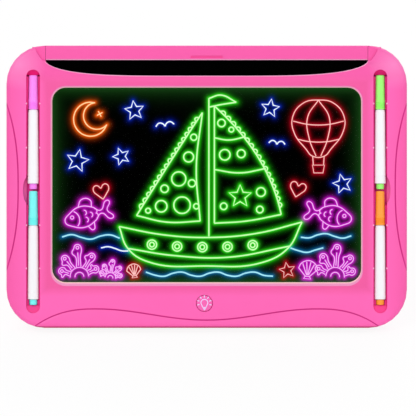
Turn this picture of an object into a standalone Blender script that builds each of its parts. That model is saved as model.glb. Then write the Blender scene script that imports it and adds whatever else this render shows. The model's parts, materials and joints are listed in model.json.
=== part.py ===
"""Led writing board: a framed, edge-lit clear panel with markers at its sides and a folding stand.

The board is modelled lying face up in its own frame: X to the right, Y up the face, Z out of
the face, with Z = 0 on its back. An empty then leans it back on its opened stand, and puts the
middle of its footprint on the origin.
"""

import math

import bmesh
import bpy
from mathutils import Matrix, Vector

# Clearances and cutters
GAP = 0.0003
OVERRUN = 0.001

# Case
BOARD_WIDTH = 0.366
BOARD_HEIGHT = 0.258
CORNER_RADIUS = 0.0352
FRONT_ROUND = 0.0045
REAR_ROUND = 0.003
CASE_WALL = 0.002
INNER_ROUND = 0.002
RIB_WALL = 0.0015
PARTING_HEIGHT = 0.0087
LEAN_DEGREES = 21.0
FLOOR_STRIP = 0.005

# Stack of parts from the back to the face
DOOR_SINK = 0.0002
DOOR_THICKNESS = 0.0015
CELL_DIAMETER = 0.0102
ROOF_THICKNESS = 0.0008
BACKING_THICKNESS = 0.0016
SPACER_THICKNESS = 0.0009
PANEL_THICKNESS = 0.003

# Window and clear panel
BOTTOM_BAND = 0.0418
WINDOW_CORNER = 0.0124
PANEL_LAP = 0.003
PANEL_CORNER = 0.006
PANEL_SIDE_ROOM = 0.0067
LIP_BOTTOM = 0.0034
LIP_SIDE = 0.0015
LIP_DEPTH = 0.0012
SPACER_INSET = 0.0004
BACKING_TOP_MARGIN = 0.004

# Thumb opening above the window
LENS_DEPTH = 0.0142
LENS_LIP = 0.0007
TOP_STRIP = 0.0107

# Top flap
FLAP_HEIGHT = 0.0136
FLAP_THICKNESS = 0.0016
FLAP_ROUND = 0.003
FLAP_SIDE_ROOM = 0.0034
FLAP_PIN_RADIUS = 0.0013
FLAP_PIN_REACH = 0.0015
FLAP_BARREL_RADIUS = 0.0022
FLAP_NOTCH_WIDTH = 0.029
FLAP_NOTCH_HEIGHT = 0.0022
FLAP_NOTCH_RISE = 0.002
FLAP_NOTCH_DEPTH = 0.0007
FLAP_RIB_HEIGHT = 0.006
BAR_SINK = 0.0014
END_WALL = 0.0018
SHELF_REACH = 0.012
CREASE_START = 0.0021
CREASE_SPREAD = 0.0087

# Markers and their slots
SLOT_INSET = 0.0246
SLOT_TOP_MARGIN = 0.0222
SLOT_BOTTOM_MARGIN = 0.0136
SLOT_SIDE_ROOM = 0.0011
PEN_TOP_SPARE = 0.0051
PEN_MIDDLE_SPARE = 0.0017
PEN_BOTTOM_SPARE = 0.0075
PEN_PROUD = 0.0016
BARREL_DIAMETER = 0.0102
BARREL_NECK_DIAMETER = 0.0086
BARREL_WALL = 0.0011
CAP_LENGTH = 0.0315
CAP_DIAMETER = 0.0089
CAP_TIP_DIAMETER = 0.0079
CAP_WALL = 0.0009
CAP_ROUND = 0.0009
PLUG_LENGTH = 0.0051
PLUG_DIAMETER = 0.0072
PLUG_STEM = 0.006
GRIP_LENGTH = 0.014
GRIP_DIAMETER = 0.0064
NIB_DIAMETER = 0.0034
NIB_LENGTH = 0.0085
NIB_STEM = 0.006
SCOOP_HALF_LENGTH = 0.0132
SCOOP_BULGE = 0.003
SCOOP_FLOOR_RISE = 0.0022
NUB_RADIUS = 0.0014
NUB_SINK = 0.0009
NUB_LENGTH = 0.0022

# Grooves in the face
GROOVE_WIDTH = 0.0011
SIDE_GROOVE_DEPTH = 0.011
SIDE_GROOVE_HALF = 0.0766
WAVE_CREST_OUT = 0.101
WAVE_CREST_RISE = 0.0175
WAVE_TROUGH_RISE = 0.0073
WAVE_END_OUT = 0.156
WAVE_END_DROP = 0.0152

# Mode button, switch and control board
BUTTON_OUT = -0.0021
BUTTON_RISE = 0.0225
BUTTON_DIAMETER = 0.0148
BUTTON_FLANGE = 0.0014
BUTTON_FLANGE_THICKNESS = 0.0011
BUTTON_STEM_RADIUS = 0.002
BUTTON_SKIN = 0.0013
BUTTON_DOME_DROP = 0.0003
BUTTON_EDGE = 0.0006
BUTTON_TRAVEL = 0.0007
BOARD_PCB_WIDTH = 0.058
BOARD_PCB_HEIGHT = 0.02
BOARD_PCB_THICKNESS = 0.0016
BOARD_PCB_LEVEL = 0.013
BOARD_SCREW_INSET = 0.005
SWITCH_SIDE = 0.0062
SWITCH_HEIGHT = 0.0022
PLUNGER_RADIUS = 0.0017
CHIP_SIDE = 0.007
CHIP_HEIGHT = 0.001
SOCKET_SIDE = 0.005

# Light strips
STRIP_MARGIN = 0.012
STRIP_CORE = 0.001
STRIP_LAMP = 0.0014
STRIP_LAMP_LENGTH = 0.0035
STRIP_LAMPS = 10

# Cells and their compartment
CELL_LENGTH = 0.0433
CELL_NUB_LENGTH = 0.0012
CELL_NUB_RADIUS = 0.0019
CELL_EDGE = 0.0004
CELL_COUNT = 3
CELLS_ABOVE_HINGE = 0.042
CONTACT_THICKNESS = 0.0005
CONTACT_SIDE = 0.008
SPRING_LENGTH = 0.003
SPRING_BASE_RADIUS = 0.0034
SPRING_TIP_RADIUS = 0.002
TAIL_WIDTH = 0.003
TAIL_REACH = 0.002
DOOR_LAP = 0.0025
DOOR_CORNER = 0.003
DOOR_TONGUE = 0.0018
DOOR_TONGUE_WIDTH = 0.008
DOOR_TONGUE_OUT = 0.012
DOOR_SCREW_RADIUS = 0.0011
DOOR_SCREW_HEAD = 0.0022
DOOR_SCREW_LENGTH = 0.006
DOOR_EAR = 0.008
DOOR_RIBS = 5
DOOR_RIB_LENGTH = 0.016
DOOR_RIB_PITCH = 0.0024
DOOR_RIB_WIDTH = 0.0008
DOOR_RIB_DEPTH = 0.0005

# Stand
STAND_HINGE_RISE = 0.145
STAND_HINGE_LEVEL = 0.0032
STAND_WIDTH = 0.13
STAND_FOOT_WIDTH = 0.108
STAND_SINK = 0.0004
STAND_DEPTH = 0.0052
STAND_SKIN = 0.0019
STAND_RIM = 0.0024
STAND_FOOT_MARGIN = 0.008
STAND_PAD_LENGTH = 0.008
STAND_PAD_TONGUE = 0.003
STAND_SIDE_ROOM = 0.0006
STAND_RECESS_DEPTH = 0.0063
STAND_ROD_RADIUS = 0.0015
STAND_ROD_REACH = 0.0045
STAND_HEEL_WIDTH = 0.03
STAND_HEEL_THICKNESS = 0.0022
FINGER_RADIUS = 0.0075

# Screws
SCREW_RADIUS = 0.0014
SCREW_HEAD_RADIUS = 0.0026
SCREW_HEAD_HEIGHT = 0.0019
SCREW_LENGTH = 0.0115
SCREW_SINK = 0.0035
POST_RADIUS = 0.0036
SIDE_SCREW_INSET = 0.0085
SIDE_SCREW_RISE = 0.05
TOP_SCREW_INSET = 0.012
TOP_SCREW_OUT = 0.0016
BOTTOM_SCREW_INSET = 0.011
BOTTOM_SCREW_IN = 0.0184
SMALL_SCREW_RADIUS = 0.001
SMALL_SCREW_HEAD = 0.002
SMALL_SCREW_HEAD_HEIGHT = 0.0012
SMALL_SCREW_LENGTH = 0.005
SUPPORT_RADIUS = 0.003

# Wires
WIRE_RADIUS = 0.0006

# Points nearer than this are one point
MERGE_DISTANCE = 0.00001

# Faces round a corner, a circle and a turned piece
SHARP_DEGREES = 35.0
CORNER_STEPS = 7
ROUND_SIDES = 24
SMALL_SIDES = 12
TURN_STEPS = 16
NUB_SIDES = 8
CURVE_STEPS = 18
LENS_STEPS = 28
ROUND_STEPS = 4
SMALL_ROUND_STEPS = 2
EASE_ROUNDS = 2

# Shares, chosen by eye, of the sizes that they follow
NUB_SHARES = ((0.248, 0.636), (0.300, 0.679))
SUPPORT_SHARES = ((-0.76, 0.84), (0.76, 0.84), (-0.76, 0.0), (0.76, 0.0), (-0.76, -0.8), (0.76, -0.8))
LENS_POWER_SHARE = 4.5
LENS_BLUNT_SHARE = 0.55
LENS_FLAT_SHARE = 0.002
GROOVE_POWER_SHARE = 2.5
CREASE_POWER_SHARE = 0.8
BUTTON_DOME_SHARE = 0.8
FLAP_RIB_SHARE = 0.67

# Case outline and levels worked out from the sizes
half_width = BOARD_WIDTH / 2
half_height = BOARD_HEIGHT / 2
lean = math.radians(LEAN_DEGREES)
door_top = DOOR_SINK + DOOR_THICKNESS
cell_axis = door_top + GAP + CELL_DIAMETER / 2
roof_low = cell_axis + CELL_DIAMETER / 2 + GAP
roof_top = roof_low + ROOF_THICKNESS
backing_low = roof_top + GAP
backing_top = backing_low + BACKING_THICKNESS
spacer_low = backing_top + GAP
spacer_top = spacer_low + SPACER_THICKNESS
panel_low = spacer_top + GAP
panel_top_level = panel_low + PANEL_THICKNESS
wall_low = panel_top_level + GAP
board_depth = wall_low + CASE_WALL
wall_middle = wall_low + CASE_WALL / 2
cover_top = PARTING_HEIGHT - GAP
bar_level = board_depth - BAR_SINK

# Slots and markers
slot_x = half_width - SLOT_INSET
slot_half = BARREL_DIAMETER / 2 + SLOT_SIDE_ROOM
slot_high = half_height - SLOT_TOP_MARGIN
slot_low = -half_height + SLOT_BOTTOM_MARGIN
pen_level = board_depth + PEN_PROUD - BARREL_DIAMETER / 2
slot_floor = pen_level - BARREL_DIAMETER / 2 - GAP
tub_low = slot_floor - RIB_WALL
pen_length = (slot_high - slot_low - PEN_TOP_SPARE - PEN_MIDDLE_SPARE - PEN_BOTTOM_SPARE) / 2
pen_tops = (slot_high - PEN_TOP_SPARE, slot_high - PEN_TOP_SPARE - pen_length - PEN_MIDDLE_SPARE)
barrel_length = pen_length - CAP_LENGTH - PLUG_LENGTH
scoop_y = pen_tops[1] + PEN_MIDDLE_SPARE / 2

# Window, panel, thumb opening and flap
notch_half = slot_x - slot_half - RIB_WALL - FLAP_SIDE_ROOM
panel_half = slot_x - slot_half - RIB_WALL - PANEL_SIDE_ROOM
window_half = panel_half - PANEL_LAP
flap_low = half_height - FLAP_HEIGHT
lens_low = flap_low - LENS_DEPTH
window_high = lens_low - TOP_STRIP
window_low = -half_height + BOTTOM_BAND
window_y = (window_high + window_low) / 2
window_height = window_high - window_low
panel_high = window_high + PANEL_LAP
panel_bottom = window_low - PANEL_LAP
flap_half = notch_half - GAP
flap_pivot_y = half_height - FLAP_BARREL_RADIUS
flap_pivot_z = FLAP_BARREL_RADIUS
flap_wall_high = flap_pivot_y - FLAP_BARREL_RADIUS - GAP
backing_high = half_height - BACKING_TOP_MARGIN

# Button and control board
button_y = -half_height + BUTTON_RISE
button_radius = BUTTON_DIAMETER / 2
flange_radius = button_radius + BUTTON_FLANGE
flange_top = wall_low - GAP
flange_low = flange_top - BUTTON_FLANGE_THICKNESS
pcb_top = BOARD_PCB_LEVEL + BOARD_PCB_THICKNESS
switch_low = pcb_top + GAP
switch_top = switch_low + SWITCH_HEIGHT
plunger_low = switch_low + GAP + BUTTON_TRAVEL
plunger_top = switch_top + BUTTON_TRAVEL + GAP
pcb_screw_out = BOARD_PCB_WIDTH / 2 - BOARD_SCREW_INSET

# Light strips
strip_in = panel_half + GAP
strip_out = strip_in + STRIP_LAMP + STRIP_CORE
strip_high = panel_high - STRIP_MARGIN
strip_bottom = panel_bottom + STRIP_MARGIN

# Cells
cells_y = -half_height + STAND_HINGE_RISE + CELLS_ABOVE_HINGE
cell_pitch = CELL_DIAMETER + GAP
cell_full = CELL_LENGTH + CELL_NUB_LENGTH
bay_half_x = (cell_full + SPRING_LENGTH + 2 * CONTACT_THICKNESS + 4 * GAP) / 2
bay_half_y = (CELL_COUNT * cell_pitch + GAP) / 2
door_half_x = bay_half_x + DOOR_LAP
door_half_y = bay_half_y + DOOR_LAP
door_screw_y = cells_y - door_half_y - DOOR_EAR / 2

# Stand
hinge_y = -half_height + STAND_HINGE_RISE
hinge_z = STAND_HINGE_LEVEL
stand_length = STAND_HINGE_RISE - STAND_FOOT_MARGIN
stand_rear = STAND_SINK - hinge_z
stand_front = stand_rear + STAND_DEPTH
stand_barrel = -stand_rear
floor_y = -half_height
hinge_height = (hinge_y - floor_y) * math.cos(lean) + (hinge_z - FLOOR_STRIP) * math.sin(lean)
stand_swing = math.acos(hinge_height / stand_length)
stand_angle = lean + stand_swing
recess_roof = STAND_RECESS_DEPTH - hinge_z
heel_front = stand_rear + STAND_HEEL_THICKNESS
heel_reach = (recess_roof - GAP - heel_front * math.cos(stand_angle)) / math.sin(stand_angle)
recess_high = hinge_y + math.hypot(heel_reach, stand_rear) + GAP
recess_low = hinge_y - stand_length - OVERRUN - GAP
recess_half = STAND_WIDTH / 2 + STAND_SIDE_ROOM


def clear_objects():
    """Remove whatever objects the file holds."""
    for item in list(bpy.data.objects):
        bpy.data.objects.remove(item, do_unlink=True)


def new_collection(name):
    """Add a collection to the scene."""
    group = bpy.data.collections.new(name)
    bpy.context.scene.collection.children.link(group)
    return group


clear_objects()
board_group = new_collection("led_writing_board")
cutter_group = new_collection("cutters")


def finish(name, colour, roughness, metallic=0.0):
    """Make a plain Principled material."""
    material = bpy.data.materials.new(name)
    material.use_nodes = True
    shader = material.node_tree.nodes["Principled BSDF"]
    shader.inputs["Base Color"].default_value = (*colour, 1.0)
    shader.inputs["Roughness"].default_value = roughness
    shader.inputs["Metallic"].default_value = metallic
    material.diffuse_color = (*colour, 1.0)
    return material


pink_plastic = finish("pink plastic", (1.0, 0.14, 0.46), 0.35)
clear_panel = finish("clear panel", (0.55, 0.85, 0.6), 0.08)
black_plastic = finish("black plastic", (0.01, 0.01, 0.01), 0.3)
white_plastic = finish("white plastic", (0.9, 0.9, 0.93), 0.35)
grey_foam = finish("grey foam", (0.2, 0.2, 0.2), 0.9)
green_circuit = finish("green circuit", (0.02, 0.22, 0.08), 0.45)
steel = finish("steel", (0.6, 0.6, 0.62), 0.3, 1.0)
tin_plate = finish("tin plate", (0.75, 0.72, 0.66), 0.3, 1.0)
grey_rubber = finish("grey rubber", (0.12, 0.12, 0.13), 0.85)
cell_jacket = finish("cell jacket", (0.05, 0.05, 0.06), 0.35)
red_wire = finish("red wire", (0.7, 0.03, 0.03), 0.5)
black_wire = finish("black wire", (0.02, 0.02, 0.02), 0.5)
felt = finish("felt nib", (0.85, 0.85, 0.8), 0.95)
ink_fibre = finish("ink fibre", (0.5, 0.3, 0.5), 0.95)
marker_inks = {
    "violet": finish("violet cap", (1.0, 0.27, 0.95), 0.3),
    "cyan": finish("cyan cap", (0.22, 0.97, 0.93), 0.3),
    "green": finish("green cap", (0.36, 1.0, 0.2), 0.3),
    "orange": finish("orange cap", (1.0, 0.37, 0.06), 0.3),
}


def place(name, mesh, material=None):
    """Put a mesh in the scene, as a piece with a material or as a cutter without one."""
    item = bpy.data.objects.new(name, mesh)
    if material:
        mesh.materials.append(material)
        mesh.shade_smooth()
        mesh.set_sharp_from_angle(angle=math.radians(SHARP_DEGREES))
        board_group.objects.link(item)
    else:
        item.display_type = "WIRE"
        item.hide_render = True
        cutter_group.objects.link(item)
    return item


def to_mesh(bm, name):
    """Turn a bmesh into a mesh whose faces point out."""
    bmesh.ops.recalc_face_normals(bm, faces=bm.faces)
    mesh = bpy.data.meshes.new(name)
    bm.to_mesh(mesh)
    bm.free()
    return mesh


def combine(target, tools, operation):
    """Add one Boolean modifier for each tool."""
    for tool in tools:
        change = target.modifiers.new(tool.name, "BOOLEAN")
        change.operation = operation
        change.solver = "EXACT"
        change.object = tool


def join(target, *tools):
    """Join the tools to the target."""
    combine(target, tools, "UNION")


def cut(target, *tools):
    """Cut the tools out of the target."""
    combine(target, tools, "DIFFERENCE")


def arc(centre, radius, start, end, steps):
    """Points along an arc, angles in degrees."""
    points = []
    for step in range(steps + 1):
        angle = math.radians(start + (end - start) * step / steps)
        points.append((centre[0] + radius * math.cos(angle), centre[1] + radius * math.sin(angle)))
    return points


def rounded_rectangle(low, high, radius, steps=CORNER_STEPS):
    """Outline of a rectangle between two corners, with round corners."""
    left, bottom = low[0] + radius, low[1] + radius
    right, top = high[0] - radius, high[1] - radius
    return (
        arc((right, bottom), radius, -90, 0, steps)
        + arc((right, top), radius, 0, 90, steps)
        + arc((left, top), radius, 90, 180, steps)
        + arc((left, bottom), radius, 180, 270, steps)
    )


def case_outline(inset):
    """Outline of the case, drawn in by an inset."""
    low = (-half_width + inset, -half_height + inset)
    high = (half_width - inset, half_height - inset)
    return rounded_rectangle(low, high, CORNER_RADIUS - inset)


def slot_outline(x, spread):
    """Outline of a marker slot with round ends, grown by a spread."""
    radius = slot_half + spread
    top = slot_high - slot_half
    bottom = slot_low + slot_half
    steps = ROUND_SIDES // 2
    return arc((x, top), radius, 0, 180, steps) + arc((x, bottom), radius, 180, 360, steps)


def plate(name, outline, low, high, material=None):
    """Fill a flat outline and give it its thickness."""
    curve = bpy.data.curves.new(name, "CURVE")
    curve.dimensions = "2D"
    curve.fill_mode = "BOTH"
    curve.extrude = (high - low) / 2
    spline = curve.splines.new("POLY")
    spline.points.add(len(outline) - 1)
    for point, (x, y) in zip(spline.points, outline):
        point.co = (x, y, 0, 1)
    spline.use_cyclic_u = True
    guide = bpy.data.objects.new(name, curve)
    cutter_group.objects.link(guide)
    bpy.context.view_layer.update()
    graph = bpy.context.evaluated_depsgraph_get()
    filled = bpy.data.meshes.new_from_object(guide.evaluated_get(graph))
    bpy.data.objects.remove(guide, do_unlink=True)
    bm = bmesh.new()
    bm.from_mesh(filled)
    bmesh.ops.remove_doubles(bm, verts=bm.verts, dist=MERGE_DISTANCE)
    bmesh.ops.dissolve_limit(bm, angle_limit=math.radians(0.1), verts=bm.verts, edges=bm.edges)
    bmesh.ops.translate(bm, vec=(0, 0, (low + high) / 2), verts=bm.verts)
    return place(name, to_mesh(bm, name), material)


def round_rim(item, level, width, segments, beyond=-BOARD_WIDTH):
    """Bevel the edges of a piece that lie at one level, and past one height on the board."""
    bm = bmesh.new()
    bm.from_mesh(item.data)
    rim = [
        edge for edge in bm.edges
        if all(abs(v.co.z - level) < MERGE_DISTANCE and v.co.y > beyond for v in edge.verts)
    ]
    bmesh.ops.bevel(
        bm, geom=rim, offset=width, segments=segments, profile=0.5, affect="EDGES", material=-1
    )
    bmesh.ops.recalc_face_normals(bm, faces=bm.faces)
    bm.to_mesh(item.data)
    bm.free()


def loft(name, low_outline, high_outline, low, high, material=None):
    """Solid between two outlines with as many points, at two levels."""
    bm = bmesh.new()
    base = [bm.verts.new((x, y, low)) for x, y in low_outline]
    raised = bmesh.ops.extrude_face_region(bm, geom=[bm.faces.new(base)])
    lifted = {v for v in raised["geom"] if isinstance(v, bmesh.types.BMVert)}
    for vertex, (x, y) in zip(base, high_outline):
        partner = next(e.other_vert(vertex) for e in vertex.link_edges if e.other_vert(vertex) in lifted)
        partner.co = (x, y, high)
    return place(name, to_mesh(bm, name), material)


def add_box(bm, low, high):
    """Add a box between two corners to a bmesh."""
    middle = (Vector(low) + Vector(high)) / 2
    size = Vector(high) - Vector(low)
    matrix = Matrix.Translation(middle) @ Matrix.Diagonal((*size, 1))
    bmesh.ops.create_cube(bm, size=1, matrix=matrix)


def add_rod(bm, x, y, radius, low, high, sides=SMALL_SIDES, tip_radius=None):
    """Add an upright round rod or cone to a bmesh."""
    bmesh.ops.create_cone(
        bm,
        cap_ends=True,
        segments=sides,
        radius1=radius,
        radius2=radius if tip_radius is None else tip_radius,
        depth=high - low,
        matrix=Matrix.Translation((x, y, (low + high) / 2)),
    )


def boxes(name, spans, material=None):
    """Object of separate boxes, each given by its two corners."""
    bm = bmesh.new()
    for low, high in spans:
        add_box(bm, low, high)
    return place(name, to_mesh(bm, name), material)


def rods(name, places, radius, low, high, material=None, sides=SMALL_SIDES):
    """Object of separate upright rods of one size."""
    bm = bmesh.new()
    for x, y in places:
        add_rod(bm, x, y, radius, low, high, sides)
    return place(name, to_mesh(bm, name), material)


def cross_rod(name, y, z, radius, low, high, material=None, sides=SMALL_SIDES):
    """Round rod along X."""
    bm = bmesh.new()
    turn = Matrix.Translation(((low + high) / 2, y, z)) @ Matrix.Rotation(math.radians(90), 4, "Y")
    bmesh.ops.create_cone(
        bm, cap_ends=True, segments=sides, radius1=radius, radius2=radius, depth=high - low, matrix=turn
    )
    return place(name, to_mesh(bm, name), material)


def turned(name, profile, material=None, steps=TURN_STEPS):
    """Turn a profile of (radius, height) points, listed from the top down, about Z."""
    bm = bmesh.new()
    points = [bm.verts.new((radius, 0, height)) for radius, height in profile]
    for first, second in zip(points, points[1:]):
        bm.edges.new((first, second))
    mesh = bpy.data.meshes.new(name)
    bm.to_mesh(mesh)
    bm.free()
    item = place(name, mesh, material)
    screw = item.modifiers.new("turn", "SCREW")
    screw.steps = steps
    screw.render_steps = steps
    screw.use_merge_vertices = True
    screw.merge_threshold = MERGE_DISTANCE
    screw.use_smooth_shade = True
    return item


def tube(name, route, radius, material):
    """Wire along a route of points."""
    curve = bpy.data.curves.new(name, "CURVE")
    curve.dimensions = "3D"
    curve.bevel_depth = radius
    curve.bevel_resolution = 1
    curve.use_fill_caps = True
    spline = curve.splines.new("POLY")
    spline.points.add(len(route) - 1)
    for point, (x, y, z) in zip(spline.points, route):
        point.co = (x, y, z, 1)
    item = bpy.data.objects.new(name, curve)
    group = board_group if material else cutter_group
    group.objects.link(item)
    if material:
        curve.materials.append(material)
    return item


def groove(name, route):
    """Thin round cutter along a line in the face."""
    guide = tube(name, [(x, y, board_depth) for x, y in route], GROOVE_WIDTH / 2, None)
    bpy.context.view_layer.update()
    graph = bpy.context.evaluated_depsgraph_get()
    mesh = bpy.data.meshes.new_from_object(guide.evaluated_get(graph))
    bpy.data.objects.remove(guide, do_unlink=True)
    bm = bmesh.new()
    bm.from_mesh(mesh)
    bmesh.ops.remove_doubles(bm, verts=bm.verts, dist=MERGE_DISTANCE)
    return place(name, to_mesh(bm, name))


def screw_places():
    """Places of the eight case screws."""
    side = half_width - SIDE_SCREW_INSET
    top = (slot_x + TOP_SCREW_OUT, half_height - TOP_SCREW_INSET)
    bottom = (slot_x - BOTTOM_SCREW_IN, -half_height + BOTTOM_SCREW_INSET)
    right = [top, (side, SIDE_SCREW_RISE), (side, -SIDE_SCREW_RISE), bottom]
    return right + [(-x, y) for x, y in right]


def lens_outline(spread):
    """Outline of the thumb opening: a flat top over a flattened arc, grown by a spread."""
    half = notch_half + spread
    depth = LENS_DEPTH + spread
    points = []
    for step in range(LENS_STEPS + 1):
        turn = math.pi * step / LENS_STEPS
        x = -half * math.cos(turn)
        rise = min(abs(x) / half, 1.0) ** LENS_POWER_SHARE
        if rise > LENS_FLAT_SHARE:
            points.append((x, flap_low - depth * (1 - rise) ** LENS_BLUNT_SHARE))
    return points


def bar_outline():
    """Outline of the sunk bar at the top, between the creases of the two corner pads."""
    right = []
    for step in range(CORNER_STEPS + 1):
        share = step / CORNER_STEPS
        x = notch_half + CREASE_START + CREASE_SPREAD * share**CREASE_POWER_SHARE
        right.append((x, flap_low + FLAP_HEIGHT * share))
    right.append((right[-1][0], half_height + OVERRUN))
    return right + [(-x, y) for x, y in reversed(right)]


def scoop_outline(side, spread):
    """Outline of the finger scoop at the outer side of a slot."""
    half = SCOOP_HALF_LENGTH + spread
    edge = slot_x
    bulge = slot_half + SCOOP_BULGE + spread
    points = []
    for step in range(CURVE_STEPS + 1):
        turn = math.pi * (step / CURVE_STEPS - 1 / 2)
        points.append((edge + bulge * math.cos(turn) ** (1 / 2), scoop_y + half * math.sin(turn)))
    if side < 0:
        points = [(-x, y) for x, y in reversed(points)]
    return points


def side_groove_route(side):
    """Crease that sets off the rounded grip along one side."""
    route = []
    for step in range(CURVE_STEPS + 1):
        share = 2 * step / CURVE_STEPS - 1
        inset = SIDE_GROOVE_DEPTH * (1 - abs(share) ** GROOVE_POWER_SHARE)
        route.append((side * (half_width - inset), SIDE_GROOVE_HALF * share))
    return route


def wave_route():
    """Wavy crease along the bottom of the face."""
    crest = -half_height + WAVE_CREST_RISE
    drop = WAVE_CREST_RISE - WAVE_TROUGH_RISE
    right = []
    for step in range(CURVE_STEPS + 1):
        x = WAVE_CREST_OUT * step / CURVE_STEPS
        right.append((x, crest - drop * (1 + math.cos(math.pi * step / CURVE_STEPS)) / 2))
    for step in range(1, CORNER_STEPS + 1):
        share = step / CORNER_STEPS
        x = WAVE_CREST_OUT + (WAVE_END_OUT - WAVE_CREST_OUT) * share
        right.append((x, crest - WAVE_END_DROP * share**GROOVE_POWER_SHARE))
    return [(-x, y) for x, y in reversed(right[1:])] + right


def frame_body():
    """Front shell with its rounded face edge and its hollow."""
    body = plate("front_frame", case_outline(0), PARTING_HEIGHT, board_depth, pink_plastic)
    round_rim(body, board_depth, FRONT_ROUND, ROUND_STEPS)
    hollow = plate("frame_hollow", case_outline(CASE_WALL), PARTING_HEIGHT - OVERRUN, wall_low)
    round_rim(hollow, wall_low, INNER_ROUND, SMALL_ROUND_STEPS)
    cut(body, hollow)
    return body


def frame_ribs():
    """Ribs behind the face that locate the panel and hold the light strips."""
    rib_half = panel_half - PANEL_CORNER
    spans = [
        ((-rib_half, panel_high + GAP, panel_low), (rib_half, panel_high + GAP + RIB_WALL, wall_middle)),
        ((-rib_half, panel_bottom - GAP - RIB_WALL, spacer_low),
         (rib_half, panel_bottom - GAP, wall_middle)),
    ]
    for side in (-1, 1):
        near, far = sorted((side * (strip_out + GAP), side * (strip_out + GAP + RIB_WALL)))
        spans.append(((near, strip_bottom, panel_low), (far, strip_high, wall_middle)))
    return boxes("frame_ribs", spans)


def frame_end_walls():
    """Walls that close the two corner pads beside the flap, with the shelf under the sunk bar."""
    walls = []
    shelves = []
    end = half_height - CASE_WALL / 2
    shelf_top = wall_middle - GAP
    for side in (-1, 1):
        near, far = sorted((side * notch_half, side * (notch_half + END_WALL)))
        walls.append(((near, flap_low - RIB_WALL, PARTING_HEIGHT + GAP), (far, end, wall_middle)))
        near, far = sorted((side * (notch_half + END_WALL / 2), side * (notch_half + SHELF_REACH)))
        low_corner = (near, flap_low - RIB_WALL / 2, bar_level - CASE_WALL)
        shelves.append((low_corner, (far, end - GAP, shelf_top)))
    wall_piece = boxes("end_walls", walls)
    shelf_piece = boxes("bar_shelves", shelves)
    width = FRONT_ROUND - CASE_WALL / 2
    round_rim(wall_piece, wall_middle, width, ROUND_STEPS, end - MERGE_DISTANCE)
    round_rim(shelf_piece, shelf_top, width, ROUND_STEPS, end - GAP - MERGE_DISTANCE)
    return wall_piece, shelf_piece


def frame_posts():
    """Bosses for the case screws and posts for the control board, with their holes."""
    bosses = rods("frame_bosses", screw_places(), POST_RADIUS, PARTING_HEIGHT, wall_middle)
    boss_holes = rods(
        "frame_boss_holes", screw_places(), SCREW_RADIUS + GAP, PARTING_HEIGHT - OVERRUN,
        wall_low - RIB_WALL,
    )
    places = [(BUTTON_OUT + side * pcb_screw_out, button_y) for side in (-1, 1)]
    posts = rods("pcb_posts", places, SMALL_SCREW_HEAD + GAP, pcb_top + GAP, wall_middle)
    post_holes = rods(
        "pcb_post_holes", places, SMALL_SCREW_RADIUS + GAP, pcb_top - OVERRUN, wall_low - RIB_WALL
    )
    return (bosses, posts), (boss_holes, post_holes)


def slot_nubs():
    """Half-round nubs on the slot walls that keep the markers in."""
    bm = bmesh.new()
    reach = BARREL_DIAMETER / 2 + GAP + NUB_RADIUS
    for top, shares in zip(pen_tops, NUB_SHARES):
        for share in shares:
            y = top - share * pen_length
            for x in (slot_x - reach, slot_x + reach, -slot_x - reach, -slot_x + reach):
                high = board_depth - NUB_SINK
                add_rod(bm, x, y, NUB_RADIUS, high - NUB_LENGTH, high, NUB_SIDES)
    return place("slot_nubs", to_mesh(bm, "slot_nubs"))


def window_cutters():
    """Window opening and the sloped lip round it, wider at the bottom."""
    low = (-window_half, window_low)
    high = (window_half, window_high)
    opening = rounded_rectangle(low, high, WINDOW_CORNER)
    slope = LIP_DEPTH + OVERRUN
    lip_low = board_depth - LIP_DEPTH
    grow = 1 + OVERRUN / LIP_DEPTH
    side, bottom = LIP_SIDE * grow, LIP_BOTTOM * grow
    wide_low = (-window_half - side, window_low - bottom)
    wide_high = (window_half + side, window_high + side)
    lip = rounded_rectangle(wide_low, wide_high, WINDOW_CORNER + side)
    through = plate("window_opening", opening, panel_low, board_depth + OVERRUN)
    return through, loft("window_lip", opening, lip, lip_low, lip_low + slope)


def lens_cutters():
    """Thumb opening and the thin slope along its curved edge."""
    through = plate("thumb_opening", lens_outline(0), panel_low - OVERRUN, board_depth + OVERRUN)
    slope = loft("thumb_slope", lens_outline(0), lens_outline(2 * LENS_LIP), board_depth - LENS_LIP,
                 board_depth + LENS_LIP)
    return through, slope


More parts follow.
